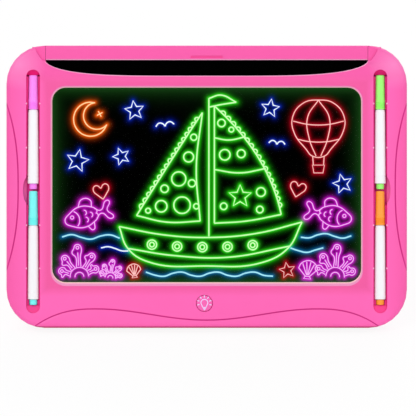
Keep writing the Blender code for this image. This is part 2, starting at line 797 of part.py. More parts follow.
def build_front_frame():
    """Front frame with its window, thumb opening, marker slots, button hole and grooves."""
    body = frame_body()
    scoop_low = slot_floor + SCOOP_FLOOR_RISE
    tubs = []
    for side in (-1, 1):
        slot = slot_outline(side * slot_x, RIB_WALL)
        scoop = scoop_outline(side, RIB_WALL)
        tubs.append(plate(f"slot_tub_{side}", slot, tub_low, wall_middle))
        tubs.append(plate(f"scoop_tub_{side}", scoop, scoop_low - RIB_WALL, wall_middle))
    lens_rib = plate("lens_rib", lens_outline(RIB_WALL), panel_low, wall_middle)
    guide = rods(
        "button_guide", [(BUTTON_OUT, button_y)], flange_radius + GAP + RIB_WALL, flange_low - RIB_WALL,
        wall_middle, sides=ROUND_SIDES,
    )
    posts, holes = frame_posts()
    join(body, *tubs, lens_rib, guide, frame_ribs(), *frame_end_walls(), *posts)
    notch = boxes("flap_notch", [((-notch_half, flap_low, PARTING_HEIGHT - OVERRUN),
                                  (notch_half, half_height + OVERRUN, board_depth + OVERRUN))])
    cut(body, notch, plate("sunk_bar", bar_outline(), bar_level, board_depth + OVERRUN))
    cut(body, *lens_cutters(), *window_cutters())
    above = board_depth + OVERRUN
    for side in (-1, 1):
        slot = slot_outline(side * slot_x, 0)
        cut(body, plate(f"slot_cut_{side}", slot, slot_floor, above))
        cut(body, plate(f"scoop_cut_{side}", scoop_outline(side, 0), scoop_low, above))
        cut(body, groove(f"side_groove_{side}", side_groove_route(side)))
    place_of_button = [(BUTTON_OUT, button_y)]
    hole = rods("button_hole", place_of_button, button_radius + GAP, flange_low - OVERRUN, above,
                sides=ROUND_SIDES)
    well_low = flange_low - RIB_WALL - OVERRUN
    well = rods("button_well", place_of_button, flange_radius + GAP, well_low, wall_low,
                sides=ROUND_SIDES)
    cut(body, hole, well, groove("wave_groove", wave_route()), *holes)
    join(body, slot_nubs())
    return body


def cover_walls():
    """Tubs for the stand and the cells, the wall behind the flap and the walls at its ends."""
    stand_tub = boxes("stand_tub", [((-recess_half - RIB_WALL, recess_low - RIB_WALL, CASE_WALL / 2),
                                     (recess_half + RIB_WALL, recess_high + RIB_WALL,
                                      STAND_RECESS_DEPTH + RIB_WALL))])
    cell_tub = boxes("cell_tub", [((-bay_half_x - RIB_WALL, cells_y - bay_half_y - RIB_WALL, CASE_WALL / 2),
                                   (bay_half_x + RIB_WALL, cells_y + bay_half_y + RIB_WALL, roof_top))])
    rim = door_half_x + RIB_WALL
    ledge = boxes("door_ledge", [((-rim, cells_y - door_half_y - DOOR_EAR - RIB_WALL, CASE_WALL / 2),
                                  (rim, cells_y + door_half_y + RIB_WALL, door_top + GAP + RIB_WALL))])
    back = boxes("flap_wall", [((-notch_half - END_WALL, flap_wall_high - END_WALL, CASE_WALL / 2),
                                (notch_half + END_WALL, flap_wall_high, cover_top))])
    rest = boxes("backing_rest", [((-notch_half + OVERRUN, flap_wall_high - END_WALL, cover_top - OVERRUN),
                                   (notch_half - OVERRUN, flap_wall_high, roof_top))])
    ends = []
    for side in (-1, 1):
        near, far = sorted((side * (notch_half - OVERRUN), side * (notch_half + END_WALL)))
        low_corner = (near, flap_wall_high - END_WALL / 2, CASE_WALL / 2)
        ends.append((low_corner, (far, half_height - CASE_WALL / 2, cover_top)))
    return stand_tub, cell_tub, ledge, back, rest, boxes("cover_end_walls", ends)


def cover_posts():
    """Screw posts, backing supports and hinge bosses."""
    posts = rods("cover_posts", screw_places(), POST_RADIUS, CASE_WALL / 2, cover_top)
    places = [(x * panel_half, window_y + y * window_height / 2) for x, y in SUPPORT_SHARES]
    supports = rods("backing_supports", places, SUPPORT_RADIUS, CASE_WALL / 2, roof_top)
    low = recess_half + RIB_WALL / 2
    bosses = []
    for side in (-1, 1):
        near, far = sorted((side * low, side * (recess_half + STAND_ROD_REACH)))
        radius = STAND_ROD_RADIUS + GAP + RIB_WALL
        bosses.append(((near, hinge_y - radius, CASE_WALL / 2), (far, hinge_y + radius, hinge_z + radius)))
    door_post = rods("door_post", [(0, door_screw_y)], DOOR_SCREW_HEAD + GAP, CASE_WALL / 2, cover_top)
    return posts, supports, boxes("hinge_bosses", bosses), door_post


def cover_pockets():
    """Cutters for the stand recess, the cell bay, the door rebate and the flap."""
    outline = rounded_rectangle((-recess_half, recess_low), (recess_half, recess_high), GAP)
    recess = plate("stand_recess", outline, -OVERRUN, STAND_RECESS_DEPTH)
    bay = boxes("cell_bay", [((-bay_half_x, cells_y - bay_half_y, -OVERRUN),
                              (bay_half_x, cells_y + bay_half_y, roof_low))])
    rebate = plate("door_rebate", door_outline(GAP), -OVERRUN, door_top + GAP)
    tongues = []
    for side in (-1, 1):
        x = side * DOOR_TONGUE_OUT
        half = DOOR_TONGUE_WIDTH / 2 + GAP
        top = cells_y + door_half_y
        low_corner = (x - half, top - OVERRUN, -OVERRUN)
        tongues.append((low_corner, (x + half, top + DOOR_TONGUE + GAP, door_top + GAP)))
    notch = boxes("cover_flap_notch", [((-notch_half, flap_wall_high, -OVERRUN),
                                        (notch_half, half_height + OVERRUN, cover_top + OVERRUN))])
    scoop = rods("stand_finger_scoop", [(0, recess_low + FINGER_RADIUS / 2)], FINGER_RADIUS, -OVERRUN,
                 STAND_DEPTH / 2, sides=ROUND_SIDES)
    return recess, bay, rebate, boxes("door_tongue_slots", tongues), notch, scoop


def cover_holes():
    """Cutters for the screws, the hinge rod, the flap pins and the wire slots."""
    shanks = rods("cover_shanks", screw_places(), SCREW_RADIUS + GAP, -OVERRUN, cover_top + OVERRUN)
    heads = rods("cover_heads", screw_places(), SCREW_HEAD_RADIUS + GAP, -OVERRUN, SCREW_SINK)
    door_hole = rods("door_screw_hole", [(0, door_screw_y)], DOOR_SCREW_RADIUS + GAP, -OVERRUN,
                     cover_top - CASE_WALL)
    reach = recess_half + STAND_ROD_REACH + OVERRUN
    rod = cross_rod("rod_bore", hinge_y, hinge_z, STAND_ROD_RADIUS + GAP, -reach, reach)
    pin_reach = notch_half + END_WALL + OVERRUN
    pins = cross_rod(
        "flap_pin_bore", flap_pivot_y, flap_pivot_z, FLAP_PIN_RADIUS + GAP, -pin_reach, pin_reach
    )
    slots = []
    for side, lane in ((-1, -1), (1, 1)):
        near, far = sorted((side * (bay_half_x - OVERRUN), side * (bay_half_x + RIB_WALL + OVERRUN)))
        y = cells_y + lane * cell_pitch
        half = TAIL_WIDTH / 2 + GAP
        slots.append(((near, y - half, cell_axis - CONTACT_THICKNESS / 2 - GAP),
                      (far, y + half, cell_axis + CONTACT_THICKNESS / 2 + GAP)))
    return rod, pins, boxes("tail_slots", slots), door_hole, shanks, heads


def build_rear_cover(floor_cutter):
    """Rear cover with its posts, tubs and pockets."""
    body = plate("rear_cover", case_outline(0), 0, cover_top, pink_plastic)
    round_rim(body, 0, REAR_ROUND, ROUND_STEPS)
    hollow = plate("cover_hollow", case_outline(CASE_WALL), CASE_WALL, cover_top + OVERRUN)
    round_rim(hollow, CASE_WALL, INNER_ROUND, SMALL_ROUND_STEPS)
    cut(body, hollow)
    join(body, *cover_walls(), *cover_posts())
    cut(body, *cover_pockets(), *cover_holes(), floor_cutter)
    return body


def build_panels():
    """Clear writing panel, black backing panel and the two spacers between them."""
    panel = rounded_rectangle((-panel_half, panel_bottom), (panel_half, panel_high), PANEL_CORNER)
    backing_half = notch_half - GAP
    backing = [(-backing_half, panel_bottom), (backing_half, panel_bottom), (backing_half, backing_high),
               (-backing_half, backing_high)]
    pieces = [
        plate("writing_panel", panel, panel_low, panel_top_level, clear_panel),
        plate("backing_panel", backing, backing_low, backing_top, black_plastic),
    ]
    for side, name in ((-1, "left"), (1, "right")):
        near, far = sorted((side * (window_half + SPACER_INSET), side * (panel_half - SPACER_INSET)))
        spans = [((near, window_low, spacer_low), (far, window_high, spacer_top))]
        pieces.append(boxes(f"spacer_{name}", spans, grey_foam))
    return pieces


def strip_outline(side):
    """Comb outline of a light strip, with its lamps towards the panel."""
    length = strip_high - strip_bottom
    pitch = length / STRIP_LAMPS
    core = strip_in + STRIP_LAMP
    points = [(strip_out, strip_bottom), (strip_out, strip_high), (core, strip_high)]
    for index in range(STRIP_LAMPS):
        middle = strip_high - (index + 1 / 2) * pitch
        top, bottom = middle + STRIP_LAMP_LENGTH / 2, middle - STRIP_LAMP_LENGTH / 2
        points += [(core, top), (strip_in, top), (strip_in, bottom), (core, bottom)]
    points.append((core, strip_bottom))
    if side < 0:
        points = [(-x, y) for x, y in reversed(points)]
    return points


def build_light_strips():
    """Strips of lamps along the left and right edges of the clear panel."""
    for side, name in ((-1, "left"), (1, "right")):
        plate(f"light_strip_{name}", strip_outline(side), spacer_low, wall_low - GAP, white_plastic)


def build_control_board():
    """Control board with a chip and a wire socket, the tact switch and its plunger, and two screws."""
    low = (BUTTON_OUT - BOARD_PCB_WIDTH / 2, button_y - BOARD_PCB_HEIGHT / 2, BOARD_PCB_LEVEL)
    high = (BUTTON_OUT + BOARD_PCB_WIDTH / 2, button_y + BOARD_PCB_HEIGHT / 2, pcb_top)
    board = boxes("control_board", [(low, high)], green_circuit)
    parts = []
    for side in (-1, 1):
        x = BUTTON_OUT + side * (BOARD_PCB_WIDTH / 2 - BOARD_SCREW_INSET - CHIP_SIDE)
        half = CHIP_SIDE / 2 if side < 0 else SOCKET_SIDE / 2
        parts.append(((x - half, button_y - half, BOARD_PCB_LEVEL - CHIP_HEIGHT),
                      (x + half, button_y + half, BOARD_PCB_LEVEL + CHIP_HEIGHT / 2)))
    join(board, boxes("board_parts", parts))
    places = [(BUTTON_OUT + side * pcb_screw_out, button_y) for side in (-1, 1)]
    cut(board, rods("board_holes", places, SMALL_SCREW_RADIUS + GAP, BOARD_PCB_LEVEL - OVERRUN,
                    pcb_top + OVERRUN))
    half = SWITCH_SIDE / 2
    switch = boxes("tact_switch", [((BUTTON_OUT - half, button_y - half, switch_low),
                                    (BUTTON_OUT + half, button_y + half, switch_top))], black_plastic)
    cut(switch, rods("switch_bore", [(BUTTON_OUT, button_y)], PLUNGER_RADIUS + GAP, switch_low + GAP,
                     switch_top + OVERRUN))
    for number, (x, y) in enumerate(places, 1):
        screw = small_screw(f"board_screw_{number}")
        screw.location = (x, y, BOARD_PCB_LEVEL - GAP)


def small_screw(name):
    """Small pan-head screw, its head below its origin."""
    profile = [
        (0, SMALL_SCREW_LENGTH), (SMALL_SCREW_RADIUS, SMALL_SCREW_LENGTH), (SMALL_SCREW_RADIUS, 0),
        (SMALL_SCREW_HEAD, 0), (SMALL_SCREW_HEAD, -SMALL_SCREW_HEAD_HEIGHT), (0, -SMALL_SCREW_HEAD_HEIGHT),
    ]
    return turned(name, profile, steel, SMALL_SIDES)


def build_button():
    """Mode button, a shallow dome with a flange and a stem, and the plunger that it presses."""
    edge = board_depth - BUTTON_DOME_DROP
    inner_top = edge - BUTTON_EDGE - BUTTON_SKIN
    inner_radius = button_radius - BUTTON_SKIN
    stem_low = plunger_top + GAP
    profile = [
        (0, board_depth), (button_radius * BUTTON_DOME_SHARE, edge),
        (button_radius - BUTTON_EDGE / 2, edge - GAP),
        (button_radius, edge - BUTTON_EDGE), (button_radius, flange_top), (flange_radius, flange_top),
        (flange_radius, flange_low), (inner_radius, flange_low), (inner_radius, inner_top),
        (BUTTON_STEM_RADIUS, inner_top), (BUTTON_STEM_RADIUS, stem_low), (0, stem_low),
    ]
    button = turned("button_cap", profile, pink_plastic)
    button.location = (BUTTON_OUT, button_y, 0)
    plunger = turned("switch_plunger", [(0, plunger_top), (PLUNGER_RADIUS, plunger_top),
                                        (PLUNGER_RADIUS, plunger_low), (0, plunger_low)],
                     white_plastic, SMALL_SIDES)
    plunger.location = (BUTTON_OUT, button_y, 0)


def flap_section():
    """Section of the flap in Y and Z: along the top, down the face, round its foot and back inside."""
    inner_face = bar_level - FLAP_THICKNESS
    inner_top = half_height - FLAP_THICKNESS
    foot = flap_low + GAP
    rim = FLAP_THICKNESS / 2
    outer = arc((half_height - FLAP_ROUND, bar_level - FLAP_ROUND), FLAP_ROUND, 0, 90, CORNER_STEPS)
    inner_centre = (inner_top - FLAP_THICKNESS, inner_face - FLAP_THICKNESS)
    inside = arc(inner_centre, FLAP_THICKNESS, 90, 0, ROUND_STEPS)
    edge = [(foot + rim, bar_level), (foot, bar_level - rim), (foot, inner_face)]
    return [(half_height, flap_pivot_z)] + outer + edge + inside + [(inner_top, flap_pivot_z)]


def build_flap():
    """Top flap with its hinge barrel, end pins, rest ribs and finger notch, about its own hinge."""
    section = [(y - flap_pivot_y, z - flap_pivot_z) for y, z in flap_section()]
    flap = plate("top_flap", section, -flap_half, flap_half, pink_plastic)
    flap.data.transform(Matrix(((0, 0, 1, 0), (1, 0, 0, 0), (0, 1, 0, 0), (0, 0, 0, 1))))
    knuckle = cross_rod("flap_barrel", 0, 0, FLAP_BARREL_RADIUS, -flap_half, flap_half, sides=ROUND_SIDES)
    pin_reach = notch_half + FLAP_PIN_REACH
    pins = cross_rod("flap_pins", 0, 0, FLAP_PIN_RADIUS, -pin_reach, pin_reach)
    ribs = []
    rib_low = backing_top + GAP - flap_pivot_z
    rib_high = bar_level - FLAP_THICKNESS / 2 - flap_pivot_z
    y = flap_low + GAP + FLAP_THICKNESS - flap_pivot_y
    for side in (-1, 1):
        x = side * notch_half * FLAP_RIB_SHARE
        ribs.append(((x - RIB_WALL / 2, y, rib_low), (x + RIB_WALL / 2, y + FLAP_RIB_HEIGHT, rib_high)))
    join(flap, knuckle, pins, boxes("flap_ribs", ribs))
    low = flap_low + FLAP_NOTCH_RISE - flap_pivot_y
    half = FLAP_NOTCH_WIDTH / 2
    face = bar_level - flap_pivot_z
    cut(flap, boxes("finger_notch", [((-half, low, face - FLAP_NOTCH_DEPTH),
                                      (half, low + FLAP_NOTCH_HEIGHT, face + OVERRUN))]))
    return flap


def door_outline(spread):
    """Outline of the battery door with the ear for its screw."""
    low_y = cells_y - door_half_y
    high_y = cells_y + door_half_y
    half_x = door_half_x + spread
    ear = DOOR_EAR / 2 + spread
    radius = DOOR_CORNER
    return (
        arc((half_x - radius, low_y - spread + radius), radius, -90, 0, CORNER_STEPS)
        + arc((half_x - radius, high_y + spread - radius), radius, 0, 90, CORNER_STEPS)
        + arc((-half_x + radius, high_y + spread - radius), radius, 90, 180, CORNER_STEPS)
        + arc((-half_x + radius, low_y - spread + radius), radius, 180, 270, CORNER_STEPS)
        + arc((0, door_screw_y), ear, 180, 360, CORNER_STEPS * 2)
    )


def build_battery_door():
    """Battery door with grip ribs, its two tongues and its screw."""
    door = plate("battery_door", door_outline(0), DOOR_SINK, door_top, pink_plastic)
    tongues = []
    top = cells_y + door_half_y
    for side in (-1, 1):
        x = side * DOOR_TONGUE_OUT
        tongues.append(((x - DOOR_TONGUE_WIDTH / 2, top - OVERRUN, DOOR_SINK + DOOR_THICKNESS / 2),
                        (x + DOOR_TONGUE_WIDTH / 2, top + DOOR_TONGUE, door_top)))
    join(door, boxes("door_tongues", tongues))
    grips = []
    for index in range(DOOR_RIBS):
        y = cells_y - door_half_y + DOOR_EAR + index * DOOR_RIB_PITCH
        grips.append(((-DOOR_RIB_LENGTH / 2, y, DOOR_SINK - OVERRUN),
                      (DOOR_RIB_LENGTH / 2, y + DOOR_RIB_WIDTH, DOOR_SINK + DOOR_RIB_DEPTH)))
    head_depth = DOOR_SINK + SMALL_SCREW_HEAD_HEIGHT / 2
    cut(door, boxes("door_grips", grips),
        rods("door_hole", [(0, door_screw_y)], DOOR_SCREW_RADIUS + GAP, -OVERRUN, door_top + OVERRUN),
        rods("door_head", [(0, door_screw_y)], DOOR_SCREW_HEAD + GAP, -OVERRUN, head_depth + GAP))
    profile = [
        (0, DOOR_SCREW_LENGTH), (DOOR_SCREW_RADIUS, DOOR_SCREW_LENGTH), (DOOR_SCREW_RADIUS, head_depth),
        (DOOR_SCREW_HEAD, head_depth), (DOOR_SCREW_HEAD, DOOR_SINK), (0, DOOR_SINK),
    ]
    screw = turned("door_screw", profile, steel, SMALL_SIDES)
    screw.location = (0, door_screw_y, 0)


def build_cells():
    """Three cells, which lie in turn one way and the other."""
    radius = CELL_DIAMETER / 2
    profile = [
        (0, cell_full), (CELL_NUB_RADIUS, cell_full), (CELL_NUB_RADIUS, CELL_LENGTH),
        (radius - CELL_EDGE, CELL_LENGTH), (radius, CELL_LENGTH - CELL_EDGE), (radius, CELL_EDGE),
        (radius - CELL_EDGE, 0), (0, 0),
    ]
    for index in range(CELL_COUNT):
        side = 1 if index % 2 == 0 else -1
        cell = turned(f"battery_cell_{index + 1}", profile, cell_jacket)
        nub_end = side * (bay_half_x - 2 * GAP - CONTACT_THICKNESS)
        cell.rotation_euler = (0, math.radians(90) * side, 0)
        cell.location = (nub_end - side * cell_full, cell_y(index), cell_axis)


def cell_y(index):
    """Height on the board of a cell's axis."""
    return cells_y + (1 - index) * cell_pitch


def contact_plate(side, lanes):
    """Plate of a contact against the end wall of the cell bay, over one or two cells."""
    near, far = sorted((side * (bay_half_x - GAP), side * (bay_half_x - GAP - CONTACT_THICKNESS)))
    high = cell_y(min(lanes)) + CONTACT_SIDE / 2
    low = cell_y(max(lanes)) - CONTACT_SIDE / 2
    return [((near, low, cell_axis - CONTACT_SIDE / 2), (far, high, cell_axis + CONTACT_SIDE / 2))]


def contact_spring(name, side, lane):
    """Cone in the place of a contact's spring."""
    bm = bmesh.new()
    base = bay_half_x - GAP - CONTACT_THICKNESS / 2
    depth = SPRING_LENGTH + CONTACT_THICKNESS / 2
    middle = Matrix.Translation((side * (base - depth / 2), cell_y(lane), cell_axis))
    turn = Matrix.Rotation(math.radians(90) * -side, 4, "Y")
    bmesh.ops.create_cone(bm, cap_ends=True, segments=SMALL_SIDES, radius1=SPRING_BASE_RADIUS,
                          radius2=SPRING_TIP_RADIUS, depth=depth, matrix=middle @ turn)
    return place(name, to_mesh(bm, name))


def contact_tail(name, side, lane):
    """Solder tail that passes out through the end wall."""
    near, far = sorted((side * (bay_half_x - GAP - CONTACT_THICKNESS / 2),
                        side * (bay_half_x + RIB_WALL + TAIL_REACH)))
    y = cell_y(lane)
    return boxes(name, [((near, y - TAIL_WIDTH / 2, cell_axis - CONTACT_THICKNESS / 2),
                         (far, y + TAIL_WIDTH / 2, cell_axis + CONTACT_THICKNESS / 2))])


def build_contacts():
    """Two terminals and two bridges, which put the three cells in a row."""
    positive = boxes("terminal_positive", contact_plate(1, (0,)), tin_plate)
    join(positive, contact_tail("positive_tail", 1, 0))
    negative = boxes("terminal_negative", contact_plate(-1, (2,)), tin_plate)
    join(negative, contact_spring("negative_spring", -1, 2), contact_tail("negative_tail", -1, 2))
    left = boxes("bridge_left", contact_plate(-1, (0, 1)), tin_plate)
    join(left, contact_spring("left_spring", -1, 0))
    right = boxes("bridge_right", contact_plate(1, (1, 2)), tin_plate)
    join(right, contact_spring("right_spring", 1, 1))


def stand_outline(inset, end):
    """Outline of the stand about its hinge: a tapered leaf with round lower corners."""
    top = STAND_WIDTH / 2 - inset
    foot = STAND_FOOT_WIDTH / 2 - inset
    low = -end + inset
    return [(-top, GAP), (-foot, low), (foot, low), (top, GAP)]


def build_stand():
    """Stand about its hinge, as it lies folded: a skin with a rim, ribs, a barrel and a heel."""
    end = stand_length - STAND_PAD_LENGTH
    leaf = plate("stand", stand_outline(0, end), stand_rear, stand_front, pink_plastic)
    skin = stand_rear + STAND_SKIN
    inside = plate("stand_inside", stand_outline(STAND_RIM, end), skin, stand_front + OVERRUN)
    half = STAND_WIDTH / 2
    knuckle = cross_rod("stand_barrel", 0, 0, stand_barrel, -half, half, sides=ROUND_SIDES)
    heel_half = STAND_HEEL_WIDTH / 2
    heel = boxes("stand_heel", [((-heel_half, 0, stand_rear), (heel_half, heel_reach, heel_front))])
    ribs = []
    for side in (-1, 0, 1):
        x = side * STAND_FOOT_WIDTH / 4
        ribs.append(((x - RIB_WALL / 2, -end + STAND_RIM / 2, stand_rear + STAND_SKIN / 2),
                     (x + RIB_WALL / 2, -stand_barrel / 2, stand_front - OVERRUN)))
    tongue_half = STAND_FOOT_WIDTH / 4
    tongue = boxes("stand_tongue", [((-tongue_half, -end - STAND_PAD_TONGUE, skin),
                                     (tongue_half, -end + STAND_RIM / 2, stand_front - STAND_SKIN))])
    bore = cross_rod("stand_bore", 0, 0, STAND_ROD_RADIUS + GAP, -STAND_WIDTH, STAND_WIDTH)
    cut(leaf, inside)
    join(leaf, boxes("stand_ribs", ribs), knuckle, heel, tongue)
    cut(leaf, bore)
    return leaf


def build_stand_pad(floor_cutter):
    """Rubber pad on the foot of the stand, cut where it meets the floor."""
    end = stand_length - STAND_PAD_LENGTH
    half = STAND_FOOT_WIDTH / 2
    outline = rounded_rectangle((-half, -stand_length - OVERRUN), (half, -end - GAP), RIB_WALL, 3)
    pad = plate("stand_foot_pad", outline, stand_rear, stand_front, grey_rubber)
    room = half / 2 + GAP
    skin = STAND_SKIN - GAP
    socket = boxes("pad_socket", [((-room, -end - STAND_PAD_TONGUE - GAP, stand_rear + skin),
                                   (room, -end + OVERRUN, stand_front - skin))])
    cut(pad, socket, floor_cutter)
    return pad


def build_case_screws():
    """Eight screws that hold the rear cover to the front frame."""
    head = SCREW_SINK - GAP
    profile = [
        (0, head + SCREW_LENGTH), (SCREW_RADIUS, head + SCREW_LENGTH), (SCREW_RADIUS, head),
        (SCREW_HEAD_RADIUS, head), (SCREW_HEAD_RADIUS, head - SCREW_HEAD_HEIGHT / 2),
        (SCREW_RADIUS, head - SCREW_HEAD_HEIGHT), (0, head - SCREW_HEAD_HEIGHT),
    ]
    for number, (x, y) in enumerate(screw_places(), 1):
        screw = turned(f"case_screw_{number}", profile, steel, SMALL_SIDES)
        screw.location = (x, y, 0)


def pen_barrel_profile():
    """Profile of a marker's barrel, from its grip down to the open end that takes the plug."""
    neck = BARREL_NECK_DIAMETER / 2
    wide = BARREL_DIAMETER / 2
    bore = PLUG_DIAMETER / 2 - GAP
    top = barrel_length + GRIP_LENGTH
    grip = GRIP_DIAMETER / 2
    nib_bore = NIB_DIAMETER / 2 + GAP
    bore_top = barrel_length - BARREL_WALL
    return [
        (nib_bore, top), (grip - CAP_ROUND, top), (grip, top - 2 * CAP_ROUND), (grip, barrel_length),
        (neck - GAP, barrel_length), (neck, barrel_length - GAP), (wide, PLUG_LENGTH), (wide, GAP),
        (wide - GAP, 0), (bore, 0), (bore, bore_top), (nib_bore, bore_top), (nib_bore, top),
    ]


def pen_cap_profile():
    """Profile of a marker's cap: a long cup with a rounded end."""
    tip = CAP_TIP_DIAMETER / 2
    mouth = CAP_DIAMETER / 2
    inner = mouth - CAP_WALL
    top = CAP_LENGTH
    return [
        (0, top), (tip - CAP_ROUND, top), (tip - CAP_ROUND / 4, top - CAP_ROUND / 4),
        (tip, top - CAP_ROUND),
        (mouth, CAP_LENGTH / 2), (mouth, GAP), (inner, GAP), (inner, CAP_LENGTH / 2),
        (tip - CAP_WALL, top - 2 * CAP_WALL), (0, top - 2 * CAP_WALL),
    ]


def build_pen(number, side, top, ink):
    """One marker: cap, barrel, nib, ink reservoir and end plug, along the slot with its cap up."""
    base = top - pen_length + PLUG_LENGTH
    bore = PLUG_DIAMETER / 2 - GAP
    nib_low = barrel_length + GRIP_LENGTH - NIB_STEM
    nib = NIB_DIAMETER / 2
    nib_top = barrel_length + GRIP_LENGTH + NIB_LENGTH
    plug = PLUG_DIAMETER / 2
    reservoir_low = PLUG_STEM + GAP
    reservoir_top = barrel_length - BARREL_WALL - GAP
    parts = {
        "barrel": (pen_barrel_profile(), white_plastic, 0),
        "cap": (pen_cap_profile(), marker_inks[ink], barrel_length),
        "nib": ([(0, nib_top), (nib / 2, nib_top), (nib, nib_top - NIB_DIAMETER), (nib, nib_low),
                 (0, nib_low)], felt, 0),
        "plug": ([(0, PLUG_STEM), (bore - GAP, PLUG_STEM), (bore - GAP, -GAP), (plug, -GAP),
                  (plug, CAP_ROUND - PLUG_LENGTH), (plug - CAP_ROUND, -PLUG_LENGTH), (0, -PLUG_LENGTH)],
                 marker_inks[ink], 0),
        "reservoir": ([(0, reservoir_top), (bore - GAP, reservoir_top), (bore - GAP, reservoir_low),
                       (0, reservoir_low)], ink_fibre, 0),
    }
    for kind, (profile, material, rise) in parts.items():
        steps = SMALL_SIDES if kind in ("nib", "reservoir") else TURN_STEPS
        piece = turned(f"marker_{number}_{kind}", profile, material, steps)
        piece.rotation_euler = (math.radians(-90), 0, 0)
        piece.location = (side * slot_x, base + rise, pen_level)


def build_pens():
    """Two markers end to end in each slot."""
    inks = (("violet", -1, 0), ("cyan", -1, 1), ("green", 1, 0), ("orange", 1, 1))
    for number, (ink, side, row) in enumerate(inks, 1):
        build_pen(number, side, pen_tops[row], ink)


def eased(points):
    """Round off the corners of a route, which keeps its ends and stays inside its corners."""
    route = [Vector(point) for point in points]
    for _ in range(EASE_ROUNDS):
        softer = [route[0]]
        for first, second in zip(route, route[1:]):
            softer += [first.lerp(second, 1 / 4), first.lerp(second, 3 / 4)]
        route = softer + [route[-1]]
    return route


def build_wires():
    """Wires from the control board to the light strips and to the two terminals."""
    level = BOARD_PCB_LEVEL + BOARD_PCB_THICKNESS / 2
    strip_x = (strip_in + strip_out) / 2
    strip_z = (spacer_low + wall_low) / 2
    below = panel_bottom - 2 * RIB_WALL - 4 * WIRE_RADIUS
    for side, name in ((-1, "left"), (1, "right")):
        start = BUTTON_OUT + side * (BOARD_PCB_WIDTH / 2 + GAP)
        knee = side * (strip_x + 2 * WIRE_RADIUS)
        route = [
            (start, button_y, level),
            (start + side * BUTTON_DIAMETER, button_y, level),
            ((start + knee) / 2, (button_y + below) / 2, level),
            (knee - side * 2 * STRIP_MARGIN, below - WIRE_RADIUS, (level + strip_z) / 2),
            (knee, below + STRIP_MARGIN / 3, strip_z),
            (side * strip_x, strip_bottom - STRIP_MARGIN / 3, strip_z),
            (side * strip_x, strip_bottom - GAP, strip_z),
        ]
        tube(f"strip_wire_{name}", eased(route), WIRE_RADIUS, black_wire)
    clear = recess_half + RIB_WALL + STAND_ROD_REACH + 4 * WIRE_RADIUS
    tail = bay_half_x + RIB_WALL + TAIL_REACH + GAP
    over = (STAND_RECESS_DEPTH + RIB_WALL + BOARD_PCB_LEVEL) / 2
    for side, lane, name, material in ((1, 0, "positive", red_wire), (-1, 2, "negative", black_wire)):
        y = cell_y(lane)
        board_y = button_y - BOARD_PCB_HEIGHT / 4
        start = BUTTON_OUT + side * (BOARD_PCB_WIDTH / 2 + GAP)
        route = [
            (side * tail, y, cell_axis),
            (side * (tail + RIB_WALL * 2), y, cell_axis),
            (side * clear, recess_high + CELL_DIAMETER, cell_axis),
            (side * clear, hinge_y - STAND_HINGE_RISE / 4, cell_axis),
            (side * clear, hinge_y - STAND_HINGE_RISE / 2, over),
            ((start + side * clear) / 2, (panel_bottom + board_y) / 2, over),
            (start + side * STRIP_MARGIN, board_y, level),
            (start, board_y, level),
        ]
        tube(f"battery_wire_{name}", eased(route), WIRE_RADIUS, material)


def build_hinge_rod():
    """Steel rod that carries the stand."""
    reach = recess_half + STAND_ROD_REACH - GAP
    cross_rod("stand_hinge_rod", hinge_y, hinge_z, STAND_ROD_RADIUS, -reach, reach, steel)


def new_empty(name, location, turn_x):
    """Empty that carries pieces."""
    empty = bpy.data.objects.new(name, None)
    board_group.objects.link(empty)
    empty.location = location
    empty.rotation_euler = (turn_x, 0, 0)
    return empty


def carry(carrier, *pieces):
    """Parent pieces, and the tools that shape them, to an empty."""
    for piece in pieces:
        piece.parent = carrier
        for change in piece.modifiers:
            if change.type == "BOOLEAN":
                change.object.parent = carrier


def build_floor_cutter():
    """Slab whose top is the floor that the leaning board stands on."""
    reach = BOARD_WIDTH
    slab = boxes("floor_cutter", [((-reach, -reach, -reach), (reach, reach, 0))])
    slab.location = (0, floor_y, FLOOR_STRIP)
    slab.rotation_euler = (lean - math.radians(90), 0, 0)
    return slab


def stand_on_origin(carrier):
    """Move the carrier so that the footprint's middle is the origin and the lowest point is at zero."""
    bpy.context.view_layer.update()
    graph = bpy.context.evaluated_depsgraph_get()
    corners = []
    for item in board_group.objects:
        if item.type in ("MESH", "CURVE"):
            shown = item.evaluated_get(graph)
            mesh = shown.to_mesh()
            corners += [shown.matrix_world @ vertex.co for vertex in mesh.vertices]
            shown.to_mesh_clear()
    for axis in (0, 1):
        values = [corner[axis] for corner in corners]
        carrier.location[axis] -= (min(values) + max(values)) / 2
    carrier.location[2] -= min(corner[2] for corner in corners)


def main():
    """Build every piece, then lean the board back on its stand."""
    floor_cutter = build_floor_cutter()
    build_front_frame()
    build_rear_cover(floor_cutter)
    build_panels()
    build_light_strips()
    build_control_board()
    build_button()
    build_battery_door()
    build_cells()
    build_contacts()
    build_case_screws()
    build_pens()
    build_wires()
    build_hinge_rod()
    flap = build_flap()
    stand = build_stand()
    pad = build_stand_pad(floor_cutter)
    pieces = list(board_group.objects)
    board = new_empty("board", (0, 0, 0), math.radians(90) - lean)
    stand_hinge = new_empty("stand_hinge", (0, hinge_y, hinge_z), stand_angle)
    flap_hinge = new_empty("flap_hinge", (0, flap_pivot_y, flap_pivot_z), 0)
    carry(board, *pieces, stand_hinge, flap_hinge)
    carry(flap_hinge, flap)
    carry(stand_hinge, stand, pad)
    floor_cutter.parent = board
    stand_on_origin(board)


main()
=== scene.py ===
"""Looks of the led writing board: its finishes, neon drawing, markers and studio.

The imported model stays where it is. New pieces are modelled in the board's own frame, with X to
the right, Y up the face and Z out of the face, and are then laid on the leaning board.
"""

import json
import logging
import math
from collections.abc import Callable, Sequence
from dataclasses import dataclass, replace
from enum import Enum

import bmesh
import bpy
from mathutils import Matrix, Vector
from mathutils.kdtree import KDTree


